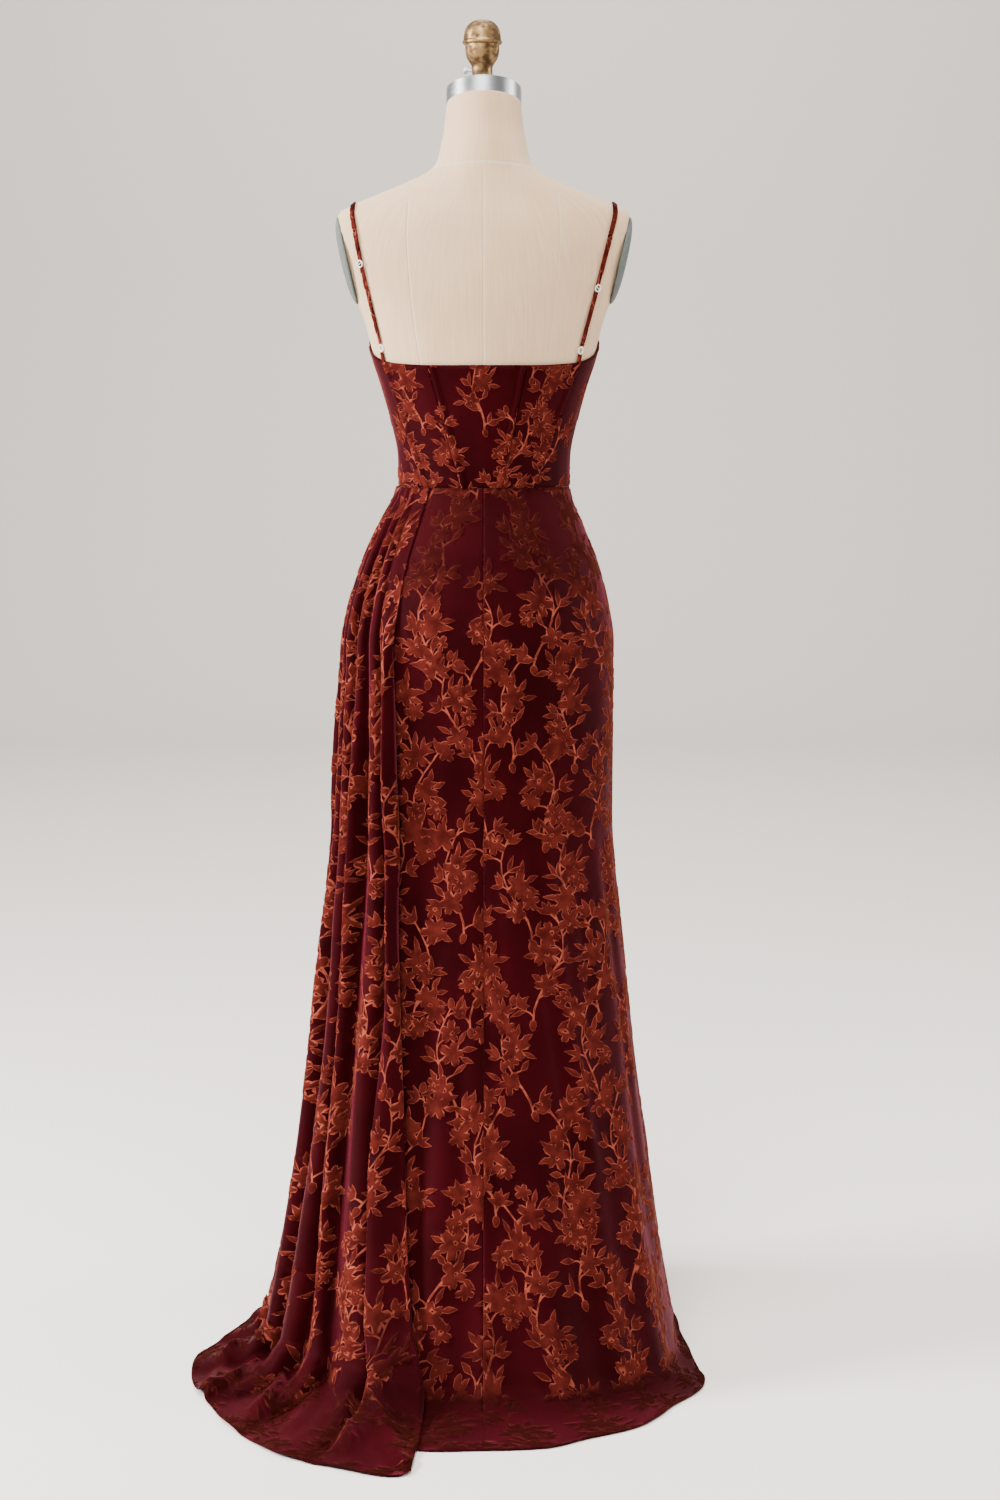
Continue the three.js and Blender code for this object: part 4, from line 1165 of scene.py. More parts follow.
    def build(self) -> Piece:
        """Builds the shell, with each face numbered for satin or velvet, and returns its object.

        Returns:
            The piece, each face numbered 0 for satin or 1 for velvet.
        """
        self.measure()
        mean_width = float(np.mean(self.widths.values))
        flat, triangles, velvet, raised = self.triangulate(
            self.plain_points(self.grid, mean_width), self.motifs(), mean_width)
        s = np.clip(flat[:, 0] / mean_width, 0, 1)
        t = np.clip(-flat[:, 1] / self.length, 0, 1)
        normal = self.surface.normal(s, t)
        base = self.surface.point(s, t)
        outer = base + normal * (PILE_HEIGHT * raised)[:, None]
        rim = self.rim(s, t)
        inner_flat, inner_triangles = self.lining_triangles(flat[rim], mean_width)
        inner_s = np.clip(inner_flat[:, 0] / mean_width, 0, 1)
        inner_t = np.clip(-inner_flat[:, 1] / self.length, 0, 1)
        inner = self.surface.point(inner_s, inner_t) - self.surface.normal(inner_s, inner_t) * self.thickness
        inner += self.lean * self.surface.across(inner_s, inner_t)
        inner[:, 2] = np.maximum(inner[:, 2], FLOOR_CLEAR)
        count, ring = len(outer), len(rim)
        faces = triangles.tolist()
        for index in range(ring):
            following = (index + 1) % ring
            a, b = int(rim[index]), int(rim[following])
            faces.append([b, a, count + index, count + following])
        faces.extend([[int(c) + count, int(b) + count, int(a) + count] for a, b, c in inner_triangles])
        piece = mesh_piece(self.name, np.concatenate([outer, inner]) * MM, faces)
        mesh = piece.data
        kinds = np.zeros(len(faces), np.int32)
        kinds[:len(triangles)] = velvet
        mesh.polygons.foreach_set("material_index", kinds)
        all_s, all_t = np.concatenate([s, inner_s]), np.concatenate([t, inner_t])
        add_cloth_map(mesh, np.stack([(all_s - 0.5) * self.widths(all_t), -all_t * self.length], axis=1) * MM)
        # painted shade: share of darker velvet colour where the cloth faces up, kept in the lying attribute
        lying = self.surface.painted_shade(base, normal)
        for label, values in (("pile", raised), ("lying", lying)):
            add_values(mesh, label, np.concatenate([values, np.zeros(len(inner))]))
        mesh.validate()
        mesh.update()
        return piece

    def rim(self, s: Array, t: Array) -> Array:
        """Returns the points along the edges of the piece, in order round it.

        Args:
            s: Shares across.
            t: Shares down.

        Returns:
            The number of each point, in order.
        """
        near = 1e-6
        runs = [
            (np.abs(s) < near, t), (np.abs(t - 1) < near, s), (np.abs(s - 1) < near, -t), (np.abs(t) < near, -s),
        ]
        order: list[int] = []
        for chosen, key in runs:
            indexes = np.nonzero(chosen)[0]
            for index in indexes[np.argsort(key[indexes])]:
                if not order or order[-1] != index:
                    order.append(int(index))
        if order[0] == order[-1]:
            order.pop()
        return np.array(order)

    def lining_triangles(self, rim: Array, mean_width: float) -> tuple[Array, Array]:
        """Cuts the plain reverse of the cloth into triangles.

        Args:
            rim: Flat points of the rim, in order.
            mean_width: Width of the flat shape.

        Returns:
            Flat points, the rim's first and in order, and triangles.
        """
        coarse = (self.grid[0] * LINING_COARSER, self.grid[1] * LINING_COARSER)
        margin = 2.0
        plain = [p for p in self.plain_points(coarse, mean_width)
                 if margin < p[0] < mean_width - margin and -self.length + margin < p[1] < -margin]
        places = [Vector(tuple(p)) for p in rim] + [Vector(p) for p in plain]
        out, _, triangles, _, _, _ = delaunay_2d_cdt(places, [], [list(range(len(rim)))], 1, 1e-7, True)
        return np.array([tuple(p) for p in out]), np.array(triangles)


# Places on the bare form, for the straps


def figure_level(x: Array, y: Array, z: Array) -> Array:
    """Returns how far outside the form a point is, below 1 being inside.

    Args:
        x, y, z: Places of the points.

    Returns:
        Levels.
    """
    centre = CENTRE(z)
    surface = figure_point(np.degrees(np.arctan2(x, centre - y)), z, 0.0)
    return np.hypot(x, y - centre) / np.hypot(surface[..., 0], surface[..., 1] - centre)


def surface_y(x: Array, z: Array, side: int) -> Array:
    """Returns the y of the form's surface, behind for side -1 and in front for side 1."""
    centre = CENTRE(z)
    return halve(centre, centre + side * FAR_OUT, lambda y: figure_level(x, y, z) < 1)


def surface_z(x: Array, y: Array) -> Array:
    """Returns the height of the form's shoulder over a place."""
    low = np.full_like(y, ARM_FLAT_Z)
    return halve(low, np.full_like(y, NECK_TOP), lambda z: figure_level(x, y, z) < 1)


def figure_normal(points: Array) -> Array:
    """Returns the outward normals of the form at points on it.

    Args:
        points: Points in millimetres.

    Returns:
        Vectors of length 1.
    """
    x, y, z = points[..., 0], points[..., 1], points[..., 2]
    step = 0.5
    normal = np.stack([
        figure_level(x + step, y, z) - figure_level(x - step, y, z),
        figure_level(x, y + step, z) - figure_level(x, y - step, z),
        figure_level(x, y, z + step) - figure_level(x, y, z - step)], axis=-1)
    return unit(normal)


STRAP_WIDTH, STRAP_THICKNESS, STRAP_GAP = 6.5, 1.3, 0.9
SHOULDER_START = 1462.0
CUP_TOP = 1352.0
RING_RADIUS, RING_WIRE = 4.1, 0.8


@dataclass(frozen=True)
class StrapLine:
    """The line of one strap on the form.

    Attributes:
        sign: 1 on the right and -1 on the left.
        seam: Distance of its lower end from the centre.
        ring: Distance from the centre and height of the ring.
        slider: Distance from the centre and height of the slider.
        shoulder: Distance from the centre on the shoulder.
        cup: Distance from the centre at the cup in front.
    """

    sign: int
    seam: float
    ring: Pair
    slider: Pair
    shoulder: float = 165.0
    cup: float = 86.0

    def behind(self, z: Array) -> Array:
        """Returns points of the strap's line on the back at the given heights.

        Args:
            z: Heights.

        Returns:
            Points in millimetres.
        """
        below = self.ring[0] + (self.slider[0] - self.ring[0]) * (z - self.ring[1]) / (self.slider[1] - self.ring[1])
        above = self.slider[0] + (self.shoulder - self.slider[0]) * (z - self.slider[1]) / (
            SHOULDER_START - self.slider[1])
        x = self.sign * np.where(z < self.slider[1], below, above)
        return np.stack([x, surface_y(x, z, -1), z], axis=-1)

    def path(self) -> Array:
        """Returns the strap's line from the ring over the shoulder to the cup.

        Returns:
            Points in millimetres.
        """
        start = self.ring[1] + RING_RADIUS + RING_WIRE + 0.3
        back = self.behind(np.linspace(start, SHOULDER_START, 70))
        x = self.sign * self.shoulder
        ends = [float(surface_y(np.array([float(x)]), np.array([SHOULDER_START]), side)[0]) for side in (-1, 1)]
        y = np.linspace(ends[0], ends[1], 34)[1:-1]
        across = np.full_like(y, x)
        over = np.stack([across, y, surface_z(across, y)], axis=-1)
        z = np.linspace(SHOULDER_START, CUP_TOP + 1.2, 44)
        inward = self.shoulder + (self.cup - self.shoulder) * (SHOULDER_START - z) / (SHOULDER_START - z[-1])
        front = np.stack([self.sign * inward, surface_y(self.sign * inward, z, 1), z], axis=-1)
        return np.concatenate([back, over, front])

    def tab(self) -> Array:
        """Returns the line of the short tab below the ring.

        Returns:
            Points in millimetres.
        """
        angle = float(np.degrees(np.arctan2(self.seam, 70.0)))
        low = float(NECK_EDGE(angle)) + 1.0
        z = np.linspace(low, self.ring[1] - RING_RADIUS - RING_WIRE - 0.3, 8)
        x = self.seam + (self.ring[0] - self.seam) * (z - low) / (self.ring[1] - low)
        return np.stack([self.sign * x, surface_y(self.sign * x, z, -1), z], axis=-1)


STRAPS = {
    "left": StrapLine(-1, 126, (129, 1296), (154, 1401)),
    "right": StrapLine(1, 119, (121.5, 1293), (142, 1371)),
}


@dataclass
class RibbonSurface(ClothSurface):
    """The outer face of a strap along a line on the form.

    Attributes:
        line: Points of the line, in order.
        smoothing: How often the line is smoothed.
    """

    line: Array
    smoothing: int = 6

    def __post_init__(self) -> None:
        """Works out the frame of the ribbon at even steps along the line."""
        line = self.line.copy()
        for _ in range(self.smoothing):
            line[1:-1] = (line[:-2] + 2 * line[1:-1] + line[2:]) / 4
        run = np.concatenate([[0], np.cumsum(np.linalg.norm(np.diff(line, axis=0), axis=1))])
        self.shares = run / run[-1]
        self.centre = line
        self.out = figure_normal(line)
        for _ in range(self.smoothing):
            self.out[1:-1] = (self.out[:-2] + 2 * self.out[1:-1] + self.out[2:]) / 4
        ahead = np.gradient(line, axis=0)
        self.aside = unit(np.cross(ahead, self.out))

    def along(self, values: Array, t: Array) -> Array:
        """Returns rows of values at shares t of the line."""
        return np.stack([np.interp(t, self.shares, values[:, axis]) for axis in range(3)], axis=-1)

    def point(self, s: Array, t: Array) -> Array:
        """Returns the outer points in millimetres.

        Args:
            s: Shares across.
            t: Shares down.

        Returns:
            Points in millimetres.
        """
        s, t = np.broadcast_arrays(np.asarray(s, float), np.asarray(t, float))
        crown = 1 - 0.55 * np.abs(2 * s - 1) ** 3
        fold = 0.12 * np.sin(t * 60 + 3 * s)
        lift = STRAP_GAP + STRAP_THICKNESS * crown + fold
        across = (0.5 - s)[..., None] * STRAP_WIDTH
        return self.along(self.centre, t) + self.along(self.aside, t) * across + (
            self.along(self.out, t) * lift[..., None])


# Finishes


class Graph:
    """Adds nodes and links to a node tree."""

    def __init__(self, tree: NodeTree) -> None:
        """Keeps the tree that nodes are added to."""
        self.tree = tree

    def add(self, kind: str, inputs: dict | None = None, **settings: object) -> bpy.types.Node:
        """Adds one node.

        Args:
            kind: Type of the node.
            inputs: Values or sockets for its inputs, by name or number.
            settings: Properties of the node.

        Returns:
            The node.
        """
        node = self.tree.nodes.new(kind)
        for name, value in settings.items():
            setattr(node, name, value)
        self.give(node, inputs or {})
        return node

    def give(self, node: bpy.types.Node, inputs: dict) -> None:
        """Gives inputs of a node their values.

        Args:
            node: The node.
            inputs: Values or sockets, by the name or number of the input.
        """
        for name, value in inputs.items():
            if isinstance(value, Socket):
                self.tree.links.new(value, node.inputs[name])
            else:
                node.inputs[name].default_value = value

    def group(self, tree: NodeTree, inputs: dict) -> bpy.types.bpy_prop_collection:
        """Adds a node group with its values and returns its outputs."""
        return self.add("ShaderNodeGroup", inputs, node_tree=tree).outputs

    def bump(self, height: Socket, strength: float, distance: float) -> Socket:
        """Adds a relief from a height and returns its normal."""
        return self.add("ShaderNodeBump", {"Height": height, "Strength": strength, "Distance": distance}).outputs[0]

    def math(self, operation: str, first: object, second: object = 0.0) -> Socket:
        """Adds a sum of two values and returns its result."""
        return self.add("ShaderNodeMath", {0: first, 1: second}, operation=operation).outputs[0]

    def mix(self, factor: object, first: object, second: object) -> Socket:
        """Adds a mix of two colours and returns its result."""
        return self.add("ShaderNodeMix", {0: factor, 6: first, 7: second}, data_type="RGBA").outputs[2]

    def ramp(self, factor: Socket, low: float, high: float) -> Socket:
        """Adds a smooth rise from 0 at low to 1 at high and returns its result."""
        return self.add("ShaderNodeMapRange", {"Value": factor, "From Min": low, "From Max": high},
                        interpolation_type="SMOOTHSTEP").outputs["Result"]


def new_group(name: str, inputs: Sequence[tuple[str, str, object]], outputs: Sequence[str]) -> NodeTree:
    """Makes an empty shader node group.

    Args:
        name: Name of the group.
        inputs: Name, kind of socket and start value of each input.
        outputs: Names of its outputs, which are numbers.

    Returns:
        The group.
    """
    tree = bpy.data.node_groups.new(name, "ShaderNodeTree")
    for label, kind, start in inputs:
        socket = tree.interface.new_socket(label, in_out="INPUT", socket_type=kind)
        if start is not None:
            socket.default_value = start
    for label in outputs:
        tree.interface.new_socket(label, in_out="OUTPUT", socket_type="NodeSocketFloat")
    return tree


def weave_group() -> NodeTree:
    """Makes the group that gives the height of a plain weave of threads.

    Returns:
        The group.
    """
    tree = new_group("plain_weave", (("Vector", "NodeSocketVector", None), ("Threads", "NodeSocketFloat", 900.0),
                                     ("Slub", "NodeSocketFloat", 0.3)), ("Height", "Slub"))
    graph = Graph(tree)
    given = graph.add("NodeGroupInput").outputs
    parts = graph.add("ShaderNodeSeparateXYZ", {0: given["Vector"]}).outputs
    turns = graph.math("MULTIPLY", given["Threads"], math.pi)
    warp = graph.math("SINE", graph.math("MULTIPLY", parts[0], turns))
    weft = graph.math("SINE", graph.math("MULTIPLY", parts[1], turns))
    over = graph.ramp(graph.math("MULTIPLY", warp, weft), -0.2, 0.2)
    warp_height = graph.math("MULTIPLY", graph.math("ABSOLUTE", warp), over)
    weft_height = graph.math("MULTIPLY", graph.math("ABSOLUTE", weft), graph.math("SUBTRACT", 1.0, over))
    stretched = graph.add("ShaderNodeMapping", {"Vector": given["Vector"], "Scale": (260.0, 18.0, 90.0)})
    uneven = graph.add("ShaderNodeTexNoise", {"Vector": stretched.outputs[0], "Scale": 1.0, "Detail": 2.0})
    slub = graph.math("MULTIPLY", uneven.outputs[0], given["Slub"])
    height = graph.math("ADD", graph.math("ADD", warp_height, weft_height), slub)
    graph.add("NodeGroupOutput", {"Height": height, "Slub": uneven.outputs[0]})
    return tree


def mottle_group() -> NodeTree:
    """Makes the group that gives slow and fine unevenness for colour and gloss.

    Returns:
        The group.
    """
    tree = new_group("mottle", (("Vector", "NodeSocketVector", None), ("Slow", "NodeSocketFloat", 12.0),
                                ("Fine", "NodeSocketFloat", 300.0)), ("Slow", "Fine"))
    graph = Graph(tree)
    given = graph.add("NodeGroupInput").outputs
    slow = graph.add("ShaderNodeTexNoise", {"Vector": given["Vector"], "Scale": given["Slow"], "Detail": 3.0})
    fine = graph.add("ShaderNodeTexNoise", {"Vector": given["Vector"], "Scale": given["Fine"], "Detail": 2.0})
    graph.add("NodeGroupOutput", {"Slow": slow.outputs[0], "Fine": fine.outputs[0]})
    return tree


WEAVE = weave_group()
MOTTLE = mottle_group()

Colour = tuple[float, float, float, float]


def start_material(name: str) -> tuple[Material, Graph, bpy.types.Node]:
    """Makes a material and returns it with its graph and its shader.

    Args:
        name: Name of the material.

    Returns:
        The material, its graph and its shader.
    """
    material = bpy.data.materials.new(name)
    material.use_nodes = True
    graph = Graph(material.node_tree)
    return material, graph, material.node_tree.nodes["Principled BSDF"]


@dataclass(frozen=True)
class SatinFinish:
    """The smooth satin ground of the cloth, with its fine weave."""

    name: str = "wine_satin"
    deep: Colour = (0.0125, 0.0007, 0.0012, 1)
    light: Colour = (0.0215, 0.0011, 0.0020, 1)
    gleam: Colour = (0.80, 0.20, 0.26, 1)
    roughness: float = 0.54
    unevenness: float = 0.12
    threads: float = 2600.0
    sheen: float = 0.24
    sheen_tint: Colour = (0.75, 0.10, 0.17, 1)
    specular: float = 0.025

    def material(self) -> Material:
        """Builds the material.

        Returns:
            The material.
        """
        material, graph, shader = start_material(self.name)
        flat = graph.add("ShaderNodeUVMap", uv_map="cloth").outputs[0]
        mottle = graph.group(MOTTLE, {"Vector": flat, "Slow": 9.0, "Fine": 220.0})
        weave = graph.group(WEAVE, {"Vector": flat, "Threads": self.threads, "Slub": 0.5})
        gloss = graph.math("MULTIPLY", mottle["Fine"], self.unevenness)
        graph.give(shader, {
            "Base Color": graph.mix(graph.ramp(mottle["Slow"], 0.3, 0.7), self.deep, self.light),
            "Roughness": graph.math("ADD", gloss, self.roughness - self.unevenness / 2),
            "Normal": graph.bump(weave["Height"], 0.25, 0.0002),
            "Sheen Weight": self.sheen, "Sheen Roughness": 0.35, "Sheen Tint": self.sheen_tint,
            "Specular IOR Level": self.specular, "Specular Tint": self.gleam})
        return material


@dataclass(frozen=True)
class VelvetFinish:
    """The cut pile of the sprays, with a painted highlight along the sloping edges of the pile."""

    name: str = "rust_velvet"
    deep: Colour = (0.036, 0.0035, 0.0029, 1)
    bright: Colour = (0.071, 0.0090, 0.0062, 1)
    # painted highlight: lighter colour on the sloping edges of the pile
    edge: Colour = (0.220, 0.0450, 0.0260, 1)
    # painted shade: darker velvet colour for where the cloth faces up or lies flat
    lying: Colour = (0.013, 0.0006, 0.0008, 1)
    sheen: float = 0.12
    sheen_tint: Colour = (1.0, 0.28, 0.11, 1)
    specular: float = 0.02

    def material(self) -> Material:
        """Builds the material.

        Returns:
            The material.
        """
        material, graph, shader = start_material(self.name)
        flat = graph.add("ShaderNodeUVMap", uv_map="cloth").outputs[0]
        mottle = graph.group(MOTTLE, {"Vector": flat, "Slow": 60.0, "Fine": 900.0})
        pile = graph.add("ShaderNodeAttribute", attribute_name="pile").outputs["Fac"]
        # the lying attribute mixes in the painted shade colour
        lying = graph.add("ShaderNodeAttribute", attribute_name="lying").outputs["Fac"]
        body = graph.mix(graph.ramp(mottle["Slow"], 0.32, 0.68), self.deep, self.bright)
        # painted highlight on the sloping edges of the pile, broken up by slow noise
        edge_highlight = graph.math("MULTIPLY", graph.ramp(pile, 0.8, 0.1), graph.ramp(mottle["Slow"], 0.1, 0.7))
        graph.give(shader, {
            "Base Color": graph.mix(lying, graph.mix(edge_highlight, body, self.edge), self.lying),
            "Roughness": 0.85, "Normal": graph.bump(mottle["Fine"], 0.5, 0.0006),
            "Sheen Weight": self.sheen, "Sheen Roughness": 0.3, "Sheen Tint": self.sheen_tint,
            "Specular IOR Level": self.specular})
        return material


@dataclass(frozen=True)
class LinenFinish:
    """The cream linen cover of the form, with its sewn seams."""

    name: str = "cream_linen"
    light: Colour = (0.580, 0.390, 0.236, 1)
    dark: Colour = (0.490, 0.322, 0.184, 1)
    seam: Colour = (0.520, 0.420, 0.310, 1)
    threads: float = 1100.0
    seam_width: Pair = (0.0016, 0.0003)

    def material(self) -> Material:
        """Builds the material.

        Returns:
            The material.
        """
        material, graph, shader = start_material(self.name)
        flat = graph.add("ShaderNodeUVMap", uv_map="cloth").outputs[0]
        weave = graph.group(WEAVE, {"Vector": flat, "Threads": self.threads, "Slub": 0.9})
        mottle = graph.group(MOTTLE, {"Vector": flat, "Slow": 7.0, "Fine": 420.0})
        tone = graph.math("ADD", graph.math("MULTIPLY", mottle["Slow"], 0.6),
                          graph.math("MULTIPLY", weave["Slub"], 0.5))
        body = graph.mix(graph.ramp(tone, 0.35, 0.75), self.light, self.dark)
        grooves = None
        for name in TORSO_SEAMS:
            distance = graph.math("ABSOLUTE", graph.add("ShaderNodeAttribute", attribute_name=name).outputs["Fac"])
            groove = graph.ramp(distance, *self.seam_width)
            grooves = groove if grooves is None else graph.math("MAXIMUM", grooves, groove)
        height = graph.math("SUBTRACT", graph.math("MULTIPLY", weave["Height"], 0.22),
                            graph.math("MULTIPLY", grooves, 1.6))
        graph.give(shader, {
            "Base Color": graph.mix(graph.math("MULTIPLY", grooves, 0.55), body, self.seam),
            "Roughness": 0.88, "Normal": graph.bump(height, 0.5, 0.0007),
            "Sheen Weight": 0.15, "Specular IOR Level": 0.25})
        return material


@dataclass(frozen=True)
class MetalFinish:
    """A metal with fine brush lines or a patina.

    Attributes:
        name: Name of the material.
        bright: Colour of the clean metal.
        dull: Colour of the worn or stained metal.
        roughness: Roughness of the clean metal.
        stretch: Scale of the unevenness along x, y and z.
        stain: Share of the surface that is stained.
        pits: Strength of the relief.
        slope: Tilt of the brush lines about the X axis.
    """

    name: str
    bright: Colour
    dull: Colour
    roughness: float
    stretch: tuple[float, float, float]
    stain: float
    pits: float
    slope: float = 0.0

    def material(self) -> Material:
        """Builds the material.

        Returns:
            The material.
        """
        material, graph, shader = start_material(self.name)
        where = graph.add("ShaderNodeTexCoord").outputs["Object"]
        turned = graph.add("ShaderNodeMapping", {"Vector": where, "Rotation": (self.slope, 0, 0),
                                                 "Scale": self.stretch}).outputs[0]
        mottle = graph.group(MOTTLE, {"Vector": turned, "Slow": 1.0, "Fine": 6.0})
        stained = graph.ramp(mottle["Slow"], 0.68 - self.stain * 0.4, 0.78 - self.stain * 0.2)
        clean = graph.math("ADD", graph.math("MULTIPLY", mottle["Fine"], 0.16), self.roughness - 0.08)
        graph.give(shader, {
            "Base Color": graph.mix(stained, self.bright, self.dull), "Metallic": 1.0,
            "Roughness": graph.math("ADD", graph.math("MULTIPLY", stained, 0.2), clean),
            "Normal": graph.bump(mottle["Fine"], self.pits, 0.0003)})
        return material


@dataclass(frozen=True)
class PlateFinish:
    """A matt painted or felted surface with a pebbled texture."""

    name: str
    light: Colour
    dark: Colour
    roughness: float
    pebble: float
    relief: float

    def material(self) -> Material:
        """Builds the material.

        Returns:
            The material.
        """
        material, graph, shader = start_material(self.name)
        where = graph.add("ShaderNodeTexCoord").outputs["Object"]
        mottle = graph.group(MOTTLE, {"Vector": where, "Slow": self.pebble / 9, "Fine": self.pebble * 1.8})
        cells = graph.add("ShaderNodeTexVoronoi", {"Vector": where, "Scale": self.pebble})
        rise = graph.ramp(cells.outputs["Distance"], 0.55, 0.1)
        tone = graph.math("ADD", graph.math("MULTIPLY", rise, 0.5), graph.math("MULTIPLY", mottle["Slow"], 0.6))
        height = graph.math("ADD", rise, graph.math("MULTIPLY", mottle["Fine"], 0.3))
        graph.give(shader, {"Base Color": graph.mix(tone, self.dark, self.light), "Roughness": self.roughness,
                            "Normal": graph.bump(height, self.relief, 0.0008)})
        return material


@dataclass(frozen=True)
class ClearFinish:
    """The clear plastic of the strap rings, with faint haze."""

    name: str = "clear_plastic"
    dull: Colour = (0.93, 0.93, 0.93, 1)
    clear: Colour = (0.98, 0.98, 0.98, 1)
    transmission: float = 0.45

    def material(self) -> Material:
        """Builds the material.

        Returns:
            The material.
        """
        material, graph, shader = start_material(self.name)
        where = graph.add("ShaderNodeTexCoord").outputs["Object"]
        mottle = graph.group(MOTTLE, {"Vector": where, "Slow": 300.0, "Fine": 1500.0})
        graph.give(shader, {
            "Base Color": graph.mix(mottle["Slow"], self.dull, self.clear),
            "Roughness": graph.math("ADD", graph.math("MULTIPLY", mottle["Fine"], 0.1), 0.03),
            "Transmission Weight": self.transmission, "IOR": 1.49})
        return material


BRUSHED_SILVER = MetalFinish("brushed_silver", (0.46, 0.465, 0.475, 1), (0.27, 0.275, 0.285, 1), 0.30,
                             (14.0, 14.0, 900.0), 0.3, 0.12, NECK_TILT)
AGED_BRASS = MetalFinish("aged_brass", (0.27, 0.165, 0.070, 1), (0.085, 0.048, 0.022, 1), 0.46,
                         (90.0, 90.0, 110.0), 0.75, 0.7)
STEEL = MetalFinish("pole_steel", (0.60, 0.61, 0.62, 1), (0.42, 0.42, 0.43, 1), 0.28, (700.0, 700.0, 12.0), 0.3, 0.1)
BLACK_IRON = PlateFinish("black_iron", (0.045, 0.044, 0.043, 1), (0.018, 0.018, 0.018, 1), 0.55, 420.0, 0.35)
GREY_FELT = PlateFinish("grey_green_felt", (0.125, 0.142, 0.128, 1), (0.062, 0.072, 0.064, 1), 0.92, 520.0, 0.7)


# Plain modelling steps


def deselect() -> None:
    """Deselects every object."""
    bpy.ops.object.select_all(action="DESELECT")


def make_active(piece: Piece) -> None:
    """Selects one object alone and makes it the active one.

    Args:
        piece: The object.
    """
    deselect()
    piece.select_set(True)
    bpy.context.view_layer.objects.active = piece


def place(piece: Piece, matrix: Matrix) -> None:
    """Moves a piece's mesh into place, leaving its object at the origin."""
    piece.data.transform(matrix @ piece.matrix_basis)
    piece.matrix_basis = Matrix.Identity(4)


def turned(name: str, profile: Sequence[Pair], sides: int, bevel: float) -> Piece:
    """Turns a piece by extruding and scaling a disc up its profile.

    Args:
        name: Name of the piece.
        profile: Height and radius of each step, in millimetres, from the foot up.
        sides: Sides of the disc.
        bevel: Width of the bevel on its sharp edges.

    Returns:
        The piece, upright at the origin.
    """
    deselect()
    foot_z, foot_radius = profile[0]
    bpy.ops.mesh.primitive_circle_add(vertices=sides, radius=foot_radius * MM, fill_type="NGON",
                                      location=(0, 0, foot_z * MM))
    piece = bpy.context.object
    piece.name = piece.data.name = name
    place(piece, Matrix.Identity(4))
    bpy.ops.object.mode_set(mode="EDIT")
    bpy.ops.mesh.select_mode(type="FACE")
    bpy.ops.mesh.select_all(action="SELECT")
    for (z, radius), (next_z, next_radius) in zip(profile, profile[1:]):
        bpy.ops.mesh.extrude_region_move(TRANSFORM_OT_translate={"value": (0, 0, (next_z - z) * MM)})
        scale = next_radius / radius
        bpy.ops.transform.resize(value=(scale, scale, 1), center_override=(0, 0, 0))
    bpy.ops.mesh.select_all(action="SELECT")
    bpy.ops.mesh.normals_make_consistent(inside=False)
    bpy.ops.object.mode_set(mode="OBJECT")
    if bevel:
        round_edges(piece, bevel)
    return piece


def round_edges(piece: Piece, width: float, angle: float = 28.0) -> None:
    """Bevels the sharp edges of a piece and smooths the rest.

    Args:
        piece: The piece.
        width: Width of the bevel, in millimetres.
        angle: Least angle of a sharp edge, in degrees.
    """
    make_active(piece)
    modifier = piece.modifiers.new("soft_edges", "BEVEL")
    modifier.width = width * MM
    modifier.segments = 3
    modifier.limit_method = "ANGLE"
    modifier.angle_limit = math.radians(angle)
    bpy.ops.object.modifier_apply(modifier=modifier.name)
    bpy.ops.object.shade_smooth_by_angle(angle=math.radians(40))


def dress(piece: Piece, finishes: Sequence[Material]) -> None:
    """Gives a piece its materials in place of any others, keeping which face takes which.

    Args:
        piece: The piece.
        finishes: Its materials, by slot.
    """
    if piece.data.materials:
        piece.data.materials.clear()
    for finish in finishes:
        piece.data.materials.append(finish)


def stand_in(piece: Piece, node: str, finishes: Sequence[Material]) -> None:
    """Dresses a finished piece and puts it in place of a node.

    Args:
        piece: The piece.
        node: Node of the solids that it replaces.
        finishes: Its materials, by slot.
    """
    dress(piece, finishes)
    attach(piece, ROOT)
    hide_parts(node)
    LOG.info("%s stands in for %s, with %d faces", piece.name, node, len(piece.data.polygons))


# The form and its stand


TORSO_SEAMS = ("seam_centre", "seam_left", "seam_right", "seam_neck", "seam_shoulder")


